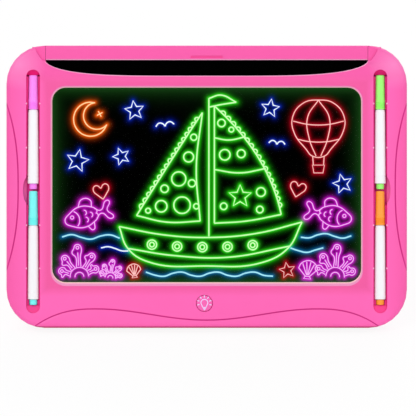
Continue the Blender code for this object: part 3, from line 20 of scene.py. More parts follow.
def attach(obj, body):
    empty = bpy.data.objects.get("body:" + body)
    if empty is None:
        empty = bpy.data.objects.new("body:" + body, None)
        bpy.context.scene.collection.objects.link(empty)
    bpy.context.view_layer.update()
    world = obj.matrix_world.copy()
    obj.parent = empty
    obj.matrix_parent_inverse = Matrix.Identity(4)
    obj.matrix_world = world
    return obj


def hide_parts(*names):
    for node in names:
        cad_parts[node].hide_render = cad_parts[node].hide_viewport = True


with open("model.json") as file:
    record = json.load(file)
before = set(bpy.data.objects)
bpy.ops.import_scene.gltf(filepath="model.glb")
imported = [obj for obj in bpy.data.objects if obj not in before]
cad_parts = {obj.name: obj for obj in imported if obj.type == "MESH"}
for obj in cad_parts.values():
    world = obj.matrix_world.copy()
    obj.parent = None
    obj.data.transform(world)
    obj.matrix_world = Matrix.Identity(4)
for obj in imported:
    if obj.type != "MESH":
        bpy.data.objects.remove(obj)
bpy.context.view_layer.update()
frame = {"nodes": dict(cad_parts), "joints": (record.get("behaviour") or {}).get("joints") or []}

BMesh = bmesh.types.BMesh
Material = bpy.types.Material
Object = bpy.types.Object
Socket = bpy.types.NodeSocket
Point = tuple[float, float]
Triple = tuple[float, float, float]
Colour = tuple[float, float, float]
Outline = list[Point]
Way = tuple[Point, ...]
Zone = tuple["Finish", Callable[[Vector, Vector], bool]]

LOG = logging.getLogger("led_writing_board")
IMAGE_SIDE = 416
MERGE = 0.000002
FLAT_ANGLE = math.radians(0.4)
SHARP_ANGLE = math.radians(32)
LARGE_FACE_WEIGHT = 80
CURVE_STEPS = 10
STROKE_SIDES = 2
FACE_LEVEL = 0.022
BAR_LEVEL = 0.0206
PANEL_RIM = 0.003
WHITE = (1.0, 1.0, 1.0)


def srgb(red: int, green: int, blue: int) -> Colour:
    """Turn a display colour into the linear one that shaders take.

    Args:
        red: Red, from 0 to 255.
        green: Green, from 0 to 255.
        blue: Blue, from 0 to 255.

    Returns:
        The linear colour, each part from 0 to 1.
    """
    parts = []
    for value in (red, green, blue):
        share = value / 255
        parts.append(share / 12.92 if share <= 0.04045 else ((share + 0.055) / 1.055) ** 2.4)
    return (parts[0], parts[1], parts[2])


class BoardSpace:
    """The board's own frame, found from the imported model."""

    def __init__(self) -> None:
        """Take the face's direction from the button's joint and the middle from the front frame."""
        press = next(j for j in frame["joints"] if j["name"] == "button_press")
        self.front = -Vector(press["axis"]).normalized()
        self.right = Vector((1, 0, 0))
        self.up = self.front.cross(self.right)
        self.origin = Vector((0, 0, 0))
        self.to_world = self.matrix()
        low, high = self.box("front_frame")
        back = self.box("rear_cover")[0]
        self.origin = self.to_world @ Vector(((low.x + high.x) / 2, (low.y + high.y) / 2, back.z))
        self.to_world = self.matrix()

    def matrix(self) -> Matrix:
        """Return the matrix from the board's frame to the world."""
        columns = Matrix((self.right, self.up, self.front)).transposed().to_4x4()
        return Matrix.Translation(self.origin) @ columns

    def box(self, node: str) -> tuple[Vector, Vector]:
        """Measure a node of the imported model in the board's frame.

        Args:
            node: Name of the node.

        Returns:
            Its lowest and highest corner.
        """
        inverse = self.to_world.inverted()
        points = [inverse @ v.co for v in frame["nodes"][node].data.vertices]
        low = Vector([min(p[axis] for p in points) for axis in range(3)])
        high = Vector([max(p[axis] for p in points) for axis in range(3)])
        return low, high


SPACE = BoardSpace()


@dataclass(frozen=True)
class Grooves:
    """Lines of the thin grooves in the face: one along each side, and a wave at the bottom."""

    half_width: float = 0.183
    width: float = 0.0011
    power: float = 2.5
    side_depth: float = 0.011
    side_half: float = 0.0766
    crest: Point = (0.101, -0.1115)
    trough: float = -0.1217
    end: Point = (0.156, -0.1267)

    def side_line(self, y: float) -> float:
        """Distance of a side groove from the middle of the board at one height."""
        share = min(abs(y) / self.side_half, 1.0)
        return self.half_width - self.side_depth * (1 - share**self.power)

    def wave_line(self, x: float) -> float:
        """Height of the wave groove at one place across the board.

        Args:
            x: Distance to the right of the board's middle line.

        Returns:
            The height.
        """
        out = abs(x)
        if out < self.crest[0]:
            swing = (1 + math.cos(math.pi * out / self.crest[0])) / 2
            return self.crest[1] - (self.crest[1] - self.trough) * swing
        share = (out - self.crest[0]) / (self.end[0] - self.crest[0])
        return self.crest[1] - (self.crest[1] - self.end[1]) * share**self.power

    def near(self, place: Vector) -> bool:
        """Whether a point of the face lies in or beside a groove.

        Args:
            place: The point.

        Returns:
            True where the face is close to a groove.
        """
        beside = abs(abs(place.x) - self.side_line(place.y)) < self.width
        across = abs(place.y - self.wave_line(place.x)) < self.width
        end = self.end[0] + self.width
        return beside and abs(place.y) < self.side_half or across and abs(place.x) < end


GROOVES = Grooves()


class NodeKit:
    """Short ways to build a material's nodes."""

    def __init__(self, tree: bpy.types.NodeTree) -> None:
        """Keep the node tree that is being filled."""
        self.tree = tree

    def add(
        self, kind: str, inputs: dict[str, object] | None = None, **properties: object
    ) -> bpy.types.Node:
        """Add a node, set its properties and fill its inputs.

        Args:
            kind: Blender's type name of the node.
            inputs: Sockets and values for its inputs.
            **properties: Properties of the node to set.

        Returns:
            The new node.
        """
        node = self.tree.nodes.new(kind)
        for key, value in properties.items():
            setattr(node, key, value)
        self.fill(node, inputs or {})
        return node

    def fill(self, node: bpy.types.Node, inputs: dict[str, object]) -> None:
        """Fill inputs of a node, found by their labels."""
        for label, value in inputs.items():
            self.feed(node.inputs[label], value)

    def feed(self, target: Socket, value: object) -> None:
        """Link a socket to an input, or set the input to a value or to an opaque colour.

        Args:
            target: The input.
            value: A socket, a number, a vector or a linear colour.
        """
        if isinstance(value, Socket):
            self.tree.links.new(value, target)
        elif target.type == "RGBA":
            target.default_value = (*value, 1.0)
        else:
            target.default_value = value

    def math(self, operation: str, *values: object) -> Socket:
        """Add a maths node whose inputs are sockets or numbers.

        Args:
            operation: Blender's name of the operation.
            *values: A socket or a number for each input.

        Returns:
            The node's output socket.
        """
        node = self.add("ShaderNodeMath", operation=operation)
        for target, value in zip(node.inputs, values):
            self.feed(target, value)
        return node.outputs[0]

    def ramp(self, value: Socket, low: float, high: float, to_low: float, to_high: float) -> Socket:
        """Map a value from low to high onto one from to_low to to_high, clamped."""
        inputs = {"Value": value, "From Min": low, "From Max": high, "To Min": to_low, "To Max": to_high}
        return self.add("ShaderNodeMapRange", inputs, clamp=True).outputs["Result"]

    def mix(self, share: Socket, first: Socket | Colour, second: Colour) -> Socket:
        """Mix two colours, where the share says how much there is of the second one."""
        inputs = {"Factor": share, "A": first, "B": second}
        return self.add("ShaderNodeMix", inputs, data_type="RGBA").outputs["Result"]

    def noise(
        self, place: Socket, scale: Socket | float, detail: float = 2.0, roughness: float = 0.5
    ) -> Socket:
        """Add a noise texture at a place in space."""
        inputs = {"Vector": place, "Scale": scale, "Detail": detail, "Roughness": roughness}
        return self.add("ShaderNodeTexNoise", inputs).outputs["Fac"]

    def object_coordinates(self) -> Socket:
        """Return the socket of the Object coordinates."""
        return self.add("ShaderNodeTexCoord").outputs["Object"]

    def board_coordinates(self) -> Socket:
        """Turn Object coordinates into the board's frame.

        Returns:
            The socket of the coordinates.
        """
        inverse = SPACE.to_world.inverted()
        mapping = self.add("ShaderNodeMapping", {
            "Vector": self.object_coordinates(),
            "Location": inverse.to_translation(),
            "Rotation": inverse.to_euler(),
        }, vector_type="POINT")
        return mapping.outputs["Vector"]

    def board_axes(self) -> tuple[Socket, Socket, Socket]:
        """Return the sockets of X, Y and Z in the board's frame."""
        return tuple(self.add("ShaderNodeSeparateXYZ", {"Vector": self.board_coordinates()}).outputs)


def new_material(name: str, inputs: dict[str, object]) -> tuple[Material, NodeKit, bpy.types.Node]:
    """Make a material and set what stays the same all over it.

    Args:
        name: Name of the material.
        inputs: Values of its shader's inputs.

    Returns:
        The material, its nodes and its shader.
    """
    material = bpy.data.materials.new(name)
    material.use_nodes = True
    kit = NodeKit(material.node_tree)
    shader = kit.tree.nodes["Principled BSDF"]
    kit.fill(shader, inputs)
    return material, kit, shader


@dataclass(frozen=True)
class MouldTexture:
    """Fine texture that all moulded and painted surfaces share, as one node group."""

    name: str = "mould_texture"
    grain_scale: float = 2400.0
    grain_detail: float = 2.0
    cloud_scale: float = 22.0
    cloud_detail: float = 3.0
    cloud_span: Point = (0.3, 0.7)
    rub_times: float = 4.0
    rub_detail: float = 4.0
    rub_roughness: float = 0.65
    rub_span: Point = (0.45, 0.75)

    def group(self) -> bpy.types.NodeTree:
        """Make the node group, once.

        Returns:
            The node group, with the outputs Height, Cloud and Rub.
        """
        if self.name in bpy.data.node_groups:
            return bpy.data.node_groups[self.name]
        tree = bpy.data.node_groups.new(self.name, "ShaderNodeTree")
        face = tree.interface
        face.new_socket("Vector", in_out="INPUT", socket_type="NodeSocketVector")
        for label, value in (("Grain Scale", self.grain_scale), ("Cloud Scale", self.cloud_scale)):
            face.new_socket(label, in_out="INPUT", socket_type="NodeSocketFloat").default_value = value
        for label in ("Height", "Cloud", "Rub"):
            face.new_socket(label, in_out="OUTPUT", socket_type="NodeSocketFloat")
        kit = NodeKit(tree)
        given = kit.add("NodeGroupInput").outputs
        grain = kit.noise(given["Vector"], given["Grain Scale"], self.grain_detail)
        cloud = kit.noise(given["Vector"], given["Cloud Scale"], self.cloud_detail)
        rub_scale = kit.math("MULTIPLY", given["Cloud Scale"], self.rub_times)
        rub = kit.noise(given["Vector"], rub_scale, self.rub_detail, self.rub_roughness)
        kit.add("NodeGroupOutput", {
            "Height": grain,
            "Cloud": kit.ramp(cloud, *self.cloud_span, 0.0, 1.0),
            "Rub": kit.ramp(rub, *self.rub_span, 0.0, 1.0),
        })
        return tree


TEXTURE = MouldTexture()


@dataclass(frozen=True)
class Finish:
    """A moulded, painted or printed surface with fine grain and soft clouds of tone."""

    name: str
    colour: Colour
    roughness: float = 0.4
    shade: float = 0.96
    grain_scale: float = TEXTURE.grain_scale
    bump: float = 0.06
    bump_depth: float = 0.00006
    specular: float = 0.5
    metallic: float = 0.0
    rub_gloss: float = 0.08
    least_roughness: float = 0.02

    def material(self) -> Material:
        """Build the material.

        Returns:
            The material, or the one of this name that is there already.
        """
        if self.name in bpy.data.materials:
            return bpy.data.materials[self.name]
        constants = {"Metallic": self.metallic, "Specular IOR Level": self.specular}
        material, kit, shader = new_material(self.name, constants)
        inputs = {"Vector": kit.object_coordinates(), "Grain Scale": self.grain_scale}
        texture = kit.add("ShaderNodeGroup", inputs, node_tree=TEXTURE.group()).outputs
        smoothest = max(self.roughness - self.rub_gloss, self.least_roughness)
        bump = kit.add("ShaderNodeBump", {
            "Strength": self.bump,
            "Distance": self.bump_depth,
            "Height": texture["Height"],
        })
        kit.fill(shader, {
            "Base Color": self.tone(kit, texture["Cloud"]),
            "Roughness": kit.ramp(texture["Rub"], 0.0, 1.0, self.roughness, smoothest),
            "Normal": bump.outputs["Normal"],
        })
        self.finish_nodes(kit, shader)
        return material

    def tone(self, kit: NodeKit, cloud: Socket) -> Socket:
        """Colour the surface, a little deeper where the clouds are thick."""
        return kit.mix(cloud, self.colour, tuple(part * self.shade for part in self.colour))

    def finish_nodes(self, kit: NodeKit, shader: bpy.types.Node) -> None:
        """Leave room for finishes that need more nodes."""


@dataclass(frozen=True)
class EdgeLitPanel(Finish):
    """Clear sheet lit from its edges: a green glow that fades towards the middle."""

    unlit: Colour = (0.0, 0.0, 0.0)
    glow: Colour = (0.0052, 0.034, 0.0048)
    half_width: float = 0.14
    low: float = -0.09
    high: float = 0.09
    reach: float = 0.005
    corner: float = 0.008
    cover: float = 0.35

    def finish_nodes(self, kit: NodeKit, shader: bpy.types.Node) -> None:
        """Let light through the sheet, and light up its edges.

        Args:
            kit: Nodes of the material.
            shader: The material's shader.
        """
        across, rise, _ = kit.board_axes()
        side = kit.math("SUBTRACT", self.half_width, kit.math("ABSOLUTE", across))
        below = kit.math("SUBTRACT", rise, self.low)
        above = kit.math("SUBTRACT", self.high, rise)
        end = kit.math("SMOOTH_MIN", below, above, self.corner)
        inward = kit.math("MAXIMUM", kit.math("SMOOTH_MIN", side, end, self.corner), 0.0)
        fade = kit.math("EXPONENT", kit.math("MULTIPLY", inward, -1 / self.reach))
        kit.fill(shader, {
            "Emission Color": kit.mix(fade, self.unlit, self.glow),
            "Emission Strength": 1 / self.cover,
            "Alpha": self.cover,
        })


@dataclass(frozen=True)
class CaseFinish(Finish):
    """Case plastic: paler painted highlights on the two corner pads, and painted shade along its edges,
    round the window, at its foot and in the thin grooves.
    """

    # Painted highlight on the corner pads: its colour, middle, reach and strength.
    pale: Colour = (1.0, 0.34, 0.68)
    pad: Point = (0.1705, 0.1115)
    pad_reach: float = 0.024
    strength: float = 0.5
    # Painted shade along the sides and the top.
    edge_shade: Colour = srgb(243, 90, 168)
    edge_across: Point = (0.163, 0.182)
    edge_rise: Point = (0.0925, 0.101)
    # Painted shade round the window: its edges, colour and reach.
    window: Triple = (0.141, -0.0872, 0.0905)
    window_shade: Colour = srgb(239, 89, 160)
    window_reach: Point = (0.0045, 0.0125)
    # Painted shade along the bottom edge.
    foot_shade: Colour = srgb(196, 40, 104)
    foot_span: Point = (-0.1281, -0.1269)
    # Painted shade in the thin grooves: a deep pink.
    deep: Colour = (0.62, 0.008, 0.21)
    line: float = 0.0006
    soft: float = 0.00022
    front: float = 0.012

    def tone(self, kit: NodeKit, cloud: Socket) -> Socket:
        """Colour the plastic, with painted shade on its edges, round the window, at its foot and in the
        grooves, and painted highlights on the pads.

        Args:
            kit: Nodes of the material.
            cloud: Socket with the soft clouds.

        Returns:
            The colour's socket.
        """
        across, rise, level = kit.board_axes()
        out = kit.math("ABSOLUTE", across)
        front = kit.math("GREATER_THAN", level, self.front)
        # Layers of painted shade along the edges, round the window, at the foot and in the grooves, and of
        # painted highlight on the pads.
        layers = (
            (self.outside(kit, out, rise), self.edge_shade),
            (self.window_shade_mask(kit, out, rise), self.window_shade),
            (kit.ramp(rise, *self.foot_span, 1.0, 0.0), self.foot_shade),
            (self.pads(kit, out, rise), self.pale),
            (self.grooves(kit, out, rise), self.deep),
        )
        painted = super().tone(kit, cloud)
        for share, colour in layers:
            painted = kit.mix(kit.math("MULTIPLY", share, front), painted, colour)
        return painted

    def outside(self, kit: NodeKit, out: Socket, rise: Socket) -> Socket:
        """Mask of the painted shade along the sides and the top."""
        sides = kit.ramp(out, *self.edge_across, 0.0, 1.0)
        return kit.math("MAXIMUM", sides, kit.ramp(rise, *self.edge_rise, 0.0, 1.0))

    def window_shade_mask(self, kit: NodeKit, out: Socket, rise: Socket) -> Socket:
        """Mask of the soft painted shade round the window.

        Args:
            kit: Nodes of the material.
            out: Distance from the board's middle line.
            rise: Height on the board.

        Returns:
            The mask's socket.
        """
        half, low, high = self.window
        beside = kit.math("SUBTRACT", out, half)
        above = kit.math("SUBTRACT", rise, high)
        below = kit.math("SUBTRACT", low, rise)
        away = kit.math("MAXIMUM", beside, kit.math("MAXIMUM", above, below))
        return kit.ramp(away, *self.window_reach, 1.0, 0.0)

    def pads(self, kit: NodeKit, out: Socket, rise: Socket) -> Socket:
        """Mask of the painted highlights in the middles of the corner pads.

        Args:
            kit: Nodes of the material.
            out: Distance from the board's middle line.
            rise: Height on the board.

        Returns:
            The mask's socket.
        """
        across = kit.math("SUBTRACT", out, self.pad[0])
        up = kit.math("SUBTRACT", rise, self.pad[1])
        squares = kit.math("ADD", kit.math("MULTIPLY", across, across), kit.math("MULTIPLY", up, up))
        return kit.ramp(kit.math("SQRT", squares), 0.0, self.pad_reach, self.strength, 0.0)

    def grooves(self, kit: NodeKit, out: Socket, rise: Socket) -> Socket:
        """Mask of the painted shade in the thin grooves."""
        return kit.math("MAXIMUM", self.side_groove(kit, out, rise), self.wave_groove(kit, out, rise))

    def stroke(self, kit: NodeKit, distance: Socket) -> Socket:
        """Mask of a line of the groove's width, from the distance to it."""
        near, far = self.line - self.soft, self.line + self.soft
        return kit.ramp(kit.math("ABSOLUTE", distance), near, far, 1.0, 0.0)

    def side_groove(self, kit: NodeKit, out: Socket, rise: Socket) -> Socket:
        """Mask of the grooves along the sides.

        Args:
            kit: Nodes of the material.
            out: Distance from the board's middle line.
            rise: Height on the board.

        Returns:
            The mask's socket.
        """
        share = kit.math("MULTIPLY", kit.math("ABSOLUTE", rise), 1 / GROOVES.side_half)
        curve = kit.math("POWER", share, GROOVES.power)
        inner = GROOVES.half_width - GROOVES.side_depth
        place = kit.math("ADD", kit.math("MULTIPLY", curve, GROOVES.side_depth), inner)
        inside = kit.math("LESS_THAN", share, 1.0)
        return kit.math("MULTIPLY", self.stroke(kit, kit.math("SUBTRACT", out, place)), inside)

    def wave_groove(self, kit: NodeKit, out: Socket, rise: Socket) -> Socket:
        """Mask of the wave along the bottom.

        Args:
            kit: Nodes of the material.
            out: Distance from the board's middle line.
            rise: Height on the board.

        Returns:
            The mask's socket.
        """
        crest_x, crest_y = GROOVES.crest
        half_drop = (crest_y - GROOVES.trough) / 2
        swing = kit.math("COSINE", kit.math("MULTIPLY", out, math.pi / crest_x))
        middle = kit.math("SUBTRACT", crest_y - half_drop, kit.math("MULTIPLY", swing, half_drop))
        span = GROOVES.end[0] - crest_x
        share = kit.math("MULTIPLY", kit.math("SUBTRACT", out, crest_x), 1 / span)
        share = kit.math("MAXIMUM", share, 0.0)
        fall = kit.math("MULTIPLY", kit.math("POWER", share, GROOVES.power), crest_y - GROOVES.end[1])
        ends = kit.math("SUBTRACT", crest_y, fall)
        inner = kit.math("LESS_THAN", out, crest_x)
        outer = kit.math("SUBTRACT", 1.0, inner)
        place = kit.math("ADD", kit.math("MULTIPLY", middle, inner), kit.math("MULTIPLY", ends, outer))
        kept = kit.math("LESS_THAN", share, 1.0 + GROOVES.width / span)
        return kit.math("MULTIPLY", self.stroke(kit, kit.math("SUBTRACT", rise, place)), kept)


@dataclass(frozen=True)
class PaintedLipLight(Finish):
    """Painted light on the slope round the window: cream along the panel, pale lilac pink above."""

    cream: Colour = srgb(240, 196, 190)
    level: float = 0.02115
    blend: float = 0.00012

    def tone(self, kit: NodeKit, cloud: Socket) -> Socket:
        """Paint the light on the slope by its depth, without clouds."""
        low, high = self.level - self.blend, self.level + self.blend
        return kit.mix(kit.ramp(kit.board_axes()[2], low, high, 0.0, 1.0), self.cream, self.colour)


@dataclass(frozen=True)
class BandedJacket(Finish):
    """Cell jacket with one plain coloured band at its positive end."""

    band: Colour = (0.6, 0.35, 0.05)
    start: float = 0.008
    direction: float = 1.0

    def tone(self, kit: NodeKit, cloud: Socket) -> Socket:
        """Colour the end past the start of the band, without clouds."""
        along = kit.math("MULTIPLY", kit.board_axes()[0], self.direction)
        return kit.mix(kit.math("GREATER_THAN", along, self.start), self.colour, self.band)


@dataclass(frozen=True)
class CircuitFinish(Finish):
    """Lacquered circuit board with copper tracks."""

    track: Colour = (0.05, 0.4, 0.16)
    pitch: float = 260.0
    track_start: float = 0.5

    def tone(self, kit: NodeKit, cloud: Socket) -> Socket:
        """Draw the tracks by a pattern of cells, without clouds.

        Args:
            kit: Nodes of the material.
            cloud: Not used by this finish.

        Returns:
            The colour's socket.
        """
        inputs = {"Vector": kit.board_coordinates(), "Scale": self.pitch}
        cells = kit.add("ShaderNodeTexVoronoi", inputs, feature="F1", distance="CHEBYCHEV")
        on_track = kit.math("GREATER_THAN", cells.outputs["Distance"], self.track_start)
        return kit.mix(on_track, self.colour, self.track)


@dataclass(frozen=True)
class NeonInk:
    """Glowing ink: its bright core, the light round it, and the radius of its strokes."""

    core: Colour
    glow: Colour
    stroke: float
    base: Colour = (0.02, 0.02, 0.02)
    roughness: float = 0.5
    cloud_scale: float = 90.0
    cloud_span: Point = (0.4, 0.7)
    cloud_share: float = 0.12

    def material(self, name: str) -> Material:
        """Build the ink, with soft clouds of its glow in its core's colour.

        Args:
            name: Name of the material.

        Returns:
            The material.
        """
        material, kit, shader = new_material(name, {
            "Base Color": self.base,
            "Roughness": self.roughness,
            "Specular IOR Level": 0.0,
            "Emission Strength": 1.0,
        })
        clouds = kit.noise(kit.object_coordinates(), self.cloud_scale)
        share = kit.ramp(clouds, *self.cloud_span, 0.0, self.cloud_share)
        kit.fill(shader, {"Emission Color": kit.mix(share, self.core, self.glow)})
        return material


class Neon(Enum):
    """Inks of the drawing."""

    GREEN = NeonInk(srgb(206, 255, 184), srgb(45, 225, 25), 0.00066)
    BLUE = NeonInk(srgb(236, 248, 255), srgb(14, 40, 176), 0.00062)
    CYAN = NeonInk(srgb(165, 235, 250), srgb(14, 105, 160), 0.00066)
    MAGENTA = NeonInk(srgb(250, 190, 250), srgb(205, 25, 205), 0.00042)
    RED = NeonInk(srgb(255, 196, 192), srgb(172, 6, 30), 0.00046)
    ORANGE = NeonInk(srgb(255, 222, 160), srgb(250, 95, 15), 0.00056)


class Palette:
    """The finishes of the board's pieces."""

    PINK = CaseFinish("pink_case", srgb(255, 103, 184), roughness=0.42, bump=0.1, specular=0.25)
    # Painted light on the window's slope.
    LIP_LIGHT = PaintedLipLight("lip_painted_light", srgb(235, 143, 191), roughness=0.35, bump=0.05, specular=0.3)
    # Painted highlight on the snap nubs, the thumb opening's rim and the flap's foot.
    RIM_HIGHLIGHT = Finish("rim_highlight", srgb(250, 178, 212), roughness=0.35, bump=0.05, specular=0.3)
    GROOVE = Finish("groove_shade", srgb(236, 42, 150), roughness=0.6, specular=0.1)
    CREASE = Finish("crease_shade", srgb(226, 58, 144), roughness=0.5, specular=0.15)
    # Painted shade on the sunk bar ends beside the raised pads.
    BAR_END_SHADE = Finish("bar_end_shade", srgb(248, 88, 168), roughness=0.42, specular=0.2)
    # Painted shade in the marker slots.
    SLOT_SHADE = Finish("slot_shade", srgb(255, 62, 170), roughness=0.5, specular=0.15)
    # Painted light: a touch paler than the case, so the scoop reads as lit.
    SCOOP_LIT = Finish("scoop_lit_pink", srgb(255, 110, 184), roughness=0.45, specular=0.2)
    # Painted shade at the slots' ends: deeper pinks for the upper and lower ramps.
    SLOT_END_SHADE = Finish("slot_end_shade", srgb(250, 36, 140), roughness=0.5, specular=0.15)
    RAMP_SHADE = Finish("slot_ramp_shade", srgb(247, 68, 148), roughness=0.5, specular=0.15)
    # Painted shade on the rails and cheeks beside the markers.
    RAIL_SHADE = Finish("slot_rail_shade", srgb(226, 46, 128), roughness=0.5, specular=0.15)
    # Painted shade in the flap's finger notch.
    NOTCH_SHADE = Finish("notch_shade", srgb(243, 78, 158), roughness=0.5, specular=0.2)
    BUTTON = Finish("pink_button", srgb(250, 104, 184), roughness=0.34, bump=0.05, specular=0.25)
    ICON = Finish("button_icon", srgb(240, 204, 250), roughness=0.4)
    BLACK = Finish("black_backing", (0.0003, 0.0003, 0.0003), roughness=0.6, specular=0.002, bump=0.02)
    BLACK_PART = Finish("black_part", (0.012, 0.012, 0.013), roughness=0.4)
    WHITE = Finish("white_plastic", srgb(238, 242, 252), roughness=0.25, shade=0.98, bump=0.03)
    FOAM = Finish("grey_foam", (0.19, 0.19, 0.19), roughness=0.95, grain_scale=1400.0, bump=0.7)
    RUBBER = Finish("grey_rubber", (0.09, 0.09, 0.095), roughness=0.85, grain_scale=1600.0, bump=0.5)
    STEEL = Finish("zinc_steel", (0.62, 0.62, 0.64), roughness=0.32, metallic=1.0, shade=0.8)
    TIN = Finish("tin_plate", (0.75, 0.72, 0.66), roughness=0.28, metallic=1.0, shade=0.85)
    RED_SLEEVE = Finish("red_sleeve", (0.6, 0.02, 0.02), roughness=0.5)
    BLACK_SLEEVE = Finish("black_sleeve", (0.02, 0.02, 0.02), roughness=0.5)
    FELT = Finish("felt", (0.8, 0.8, 0.76), roughness=0.95, grain_scale=1200.0, bump=0.8)
    INK = Finish("ink_fibre", (0.45, 0.28, 0.45), roughness=0.95, grain_scale=900.0, bump=0.6)
    CIRCUIT = CircuitFinish("circuit_board", (0.02, 0.2, 0.07), roughness=0.35)
    CAPS = {
        1: Finish("violet_cap", srgb(251, 136, 247), roughness=0.28, bump=0.03, specular=0.35),
        2: Finish("cyan_cap", srgb(120, 250, 246), roughness=0.28, bump=0.03, specular=0.35),
        3: Finish("green_cap", srgb(158, 252, 116), roughness=0.28, bump=0.03, specular=0.35),
        4: Finish("orange_cap", srgb(253, 160, 52), roughness=0.28, bump=0.03, specular=0.35),
    }


def finished_object(name: str, bm: BMesh, material: Material) -> Object:
    """Make an object of a bmesh and lay it on the board, with its place in its mesh.

    Args:
        name: Name of the piece.
        bm: The bmesh in the board's frame, which is freed.
        material: Material of the piece.

    Returns:
        The new object.
    """
    mesh = bpy.data.meshes.new(name)
    bm.to_mesh(mesh)
    bm.free()
    mesh.transform(SPACE.to_world)
    mesh.materials.append(material)
    mesh.shade_smooth()
    mesh.set_sharp_from_angle(angle=SHARP_ANGLE)
    item = bpy.data.objects.new(name, mesh)
    bpy.context.scene.collection.objects.link(item)
    return item


def weigh_normals(item: Object) -> None:
    """Let the large faces of a piece set its shading.

    Args:
        item: The piece.
    """
    change = item.modifiers.new("weighted_normals", "WEIGHTED_NORMAL")
    change.keep_sharp = True
    change.weight = LARGE_FACE_WEIGHT


def curve_mesh(name: str, lines: list["Line"], radius: float) -> bpy.types.Mesh:
    """Turn lines into a mesh of round strokes in the plane, or of bare edges with no radius.

    Args:
        name: Name of the mesh.
        lines: The lines to sweep.
        radius: Radius of the strokes, or 0 for bare edges.

    Returns:
        The mesh, in the board's frame at level 0.
    """
    curve = bpy.data.curves.new(name, "CURVE")
    curve.dimensions = "3D"
    curve.resolution_u = CURVE_STEPS
    curve.bevel_depth = radius
    curve.bevel_resolution = STROKE_SIDES
    curve.use_fill_caps = radius > 0
    for line in lines:
        line.add_to(curve)
    guide = bpy.data.objects.new(name, curve)
    bpy.context.scene.collection.objects.link(guide)
    bpy.context.view_layer.update()
    graph = bpy.context.evaluated_depsgraph_get()
    mesh = bpy.data.meshes.new_from_object(guide.evaluated_get(graph))
    bpy.data.objects.remove(guide, do_unlink=True)
    return mesh


def raised_strokes(
    name: str, lines: list["Line"], radius: float, rise: float, centre: Triple,
    material: Material,
) -> Object:
    """Make flattened round strokes that stand on a surface.

    Args:
        name: Name of the piece.
        lines: The lines to sweep.
        radius: Radius of the strokes across the surface.
        rise: Their height above the surface, as a share of the radius.
        centre: Where the drawing's own middle lies on the board.
        material: Material of the piece.

    Returns:
        The strokes as one piece.
    """
    bm = bmesh.new()
    bm.from_mesh(curve_mesh(name, lines, radius))
    bmesh.ops.remove_doubles(bm, verts=bm.verts, dist=MERGE)
    bmesh.ops.scale(bm, vec=(1, 1, rise), verts=bm.verts)
    bmesh.ops.translate(bm, vec=centre, verts=bm.verts)
    bmesh.ops.recalc_face_normals(bm, faces=bm.faces)
    return finished_object(name, bm, material)


def around(centre: Point, radius: float, angle: float) -> Point:
    """Return the point of a circle at an angle in radians."""
    return (centre[0] + radius * math.cos(angle), centre[1] + radius * math.sin(angle))


@dataclass(frozen=True)
class Line:
    """One stroke of a drawing, through points in the plane."""

    points: Sequence[Point]
    tone: Neon = Neon.GREEN
    closed: bool = False
    smooth: bool = True

    def add_to(self, curve: bpy.types.Curve) -> None:
        """Add the line to a curve as one spline.

        Args:
            curve: Curve to add to.
        """
        spline = curve.splines.new("BEZIER")
        spline.bezier_points.add(len(self.points) - 1)
        kind = "AUTO" if self.smooth else "VECTOR"
        for knot, (x, y) in zip(spline.bezier_points, self.points):
            knot.co = (x, y, 0.0)
            knot.handle_left_type = kind
            knot.handle_right_type = kind
        spline.use_cyclic_u = self.closed

    def placed(self, place: "Place") -> "Line":
        """Return the line moved, turned and scaled to a place."""
        return replace(self, points=[place.point(point) for point in self.points])


@dataclass(frozen=True)
class Place:
    """Where a motif stands in the drawing, how large, and how far turned in degrees."""

    x: float
    y: float
    size: float
    turn: float = 0.0
    flip: bool = False

    def point(self, point: Point) -> Point:
        """Move one point of a unit motif to its place.

        Args:
            point: Point of the motif.

        Returns:
            The point in the drawing.
        """
        x, y = point
        x = -x if self.flip else x
        angle = math.radians(self.turn)
        turned = (x * math.cos(angle) - y * math.sin(angle), x * math.sin(angle) + y * math.cos(angle))
        return (self.x + self.size * turned[0], self.y + self.size * turned[1])


def ring(radius: float, centre: Point = (0.0, 0.0), steps: int = 8) -> Line:
    """Draw a circle."""
    points = [around(centre, radius, math.tau * step / steps) for step in range(steps)]
    return Line(points, closed=True)


def bow(centre: Point, radius: float, start: float, end: float, steps: int = 6) -> Line:
    """Draw part of a circle between two angles in degrees."""
    angles = [math.radians(start + (end - start) * step / steps) for step in range(steps + 1)]
    return Line([around(centre, radius, angle) for angle in angles])


def swept(start: Point, control: Point, end: Point, steps: int) -> Outline:
    """List points along a curve that is pulled towards one control point.

    Args:
        start: Where the curve starts.
        control: The point that pulls it.
        end: Where the curve ends.
        steps: Number of steps between the points.

    Returns:
        The points, from start to end.
    """
    points = []
    for step in range(steps + 1):
        share = step / steps
        weights = ((1 - share) ** 2, 2 * share * (1 - share), share**2)
        points.append(tuple(
            sum(weight * point[axis] for weight, point in zip(weights, (start, control, end)))
            for axis in (0, 1)
        ))
    return points


def frill(points: Outline, depth: float) -> list[Line]:
    """Draw a bump outwards between each point and the next.

    Args:
        points: The points, which have the bumps on the left of their way.
        depth: How far each bump reaches.

    Returns:
        The bumps.
    """
    lines = []
    for (x, y), (next_x, next_y) in zip(points, points[1:]):
        away = Vector((y - next_y, next_x - x)).normalized() * depth
        middle = ((x + next_x) / 2 + away.x, (y + next_y) / 2 + away.y)
        lines.append(Line(((x, y), middle, (next_x, next_y))))
    return lines


def mirrored(points: Outline) -> Outline:
    """Return the points mirrored left to right, in reverse order."""
    return [(-x, y) for x, y in reversed(points)]


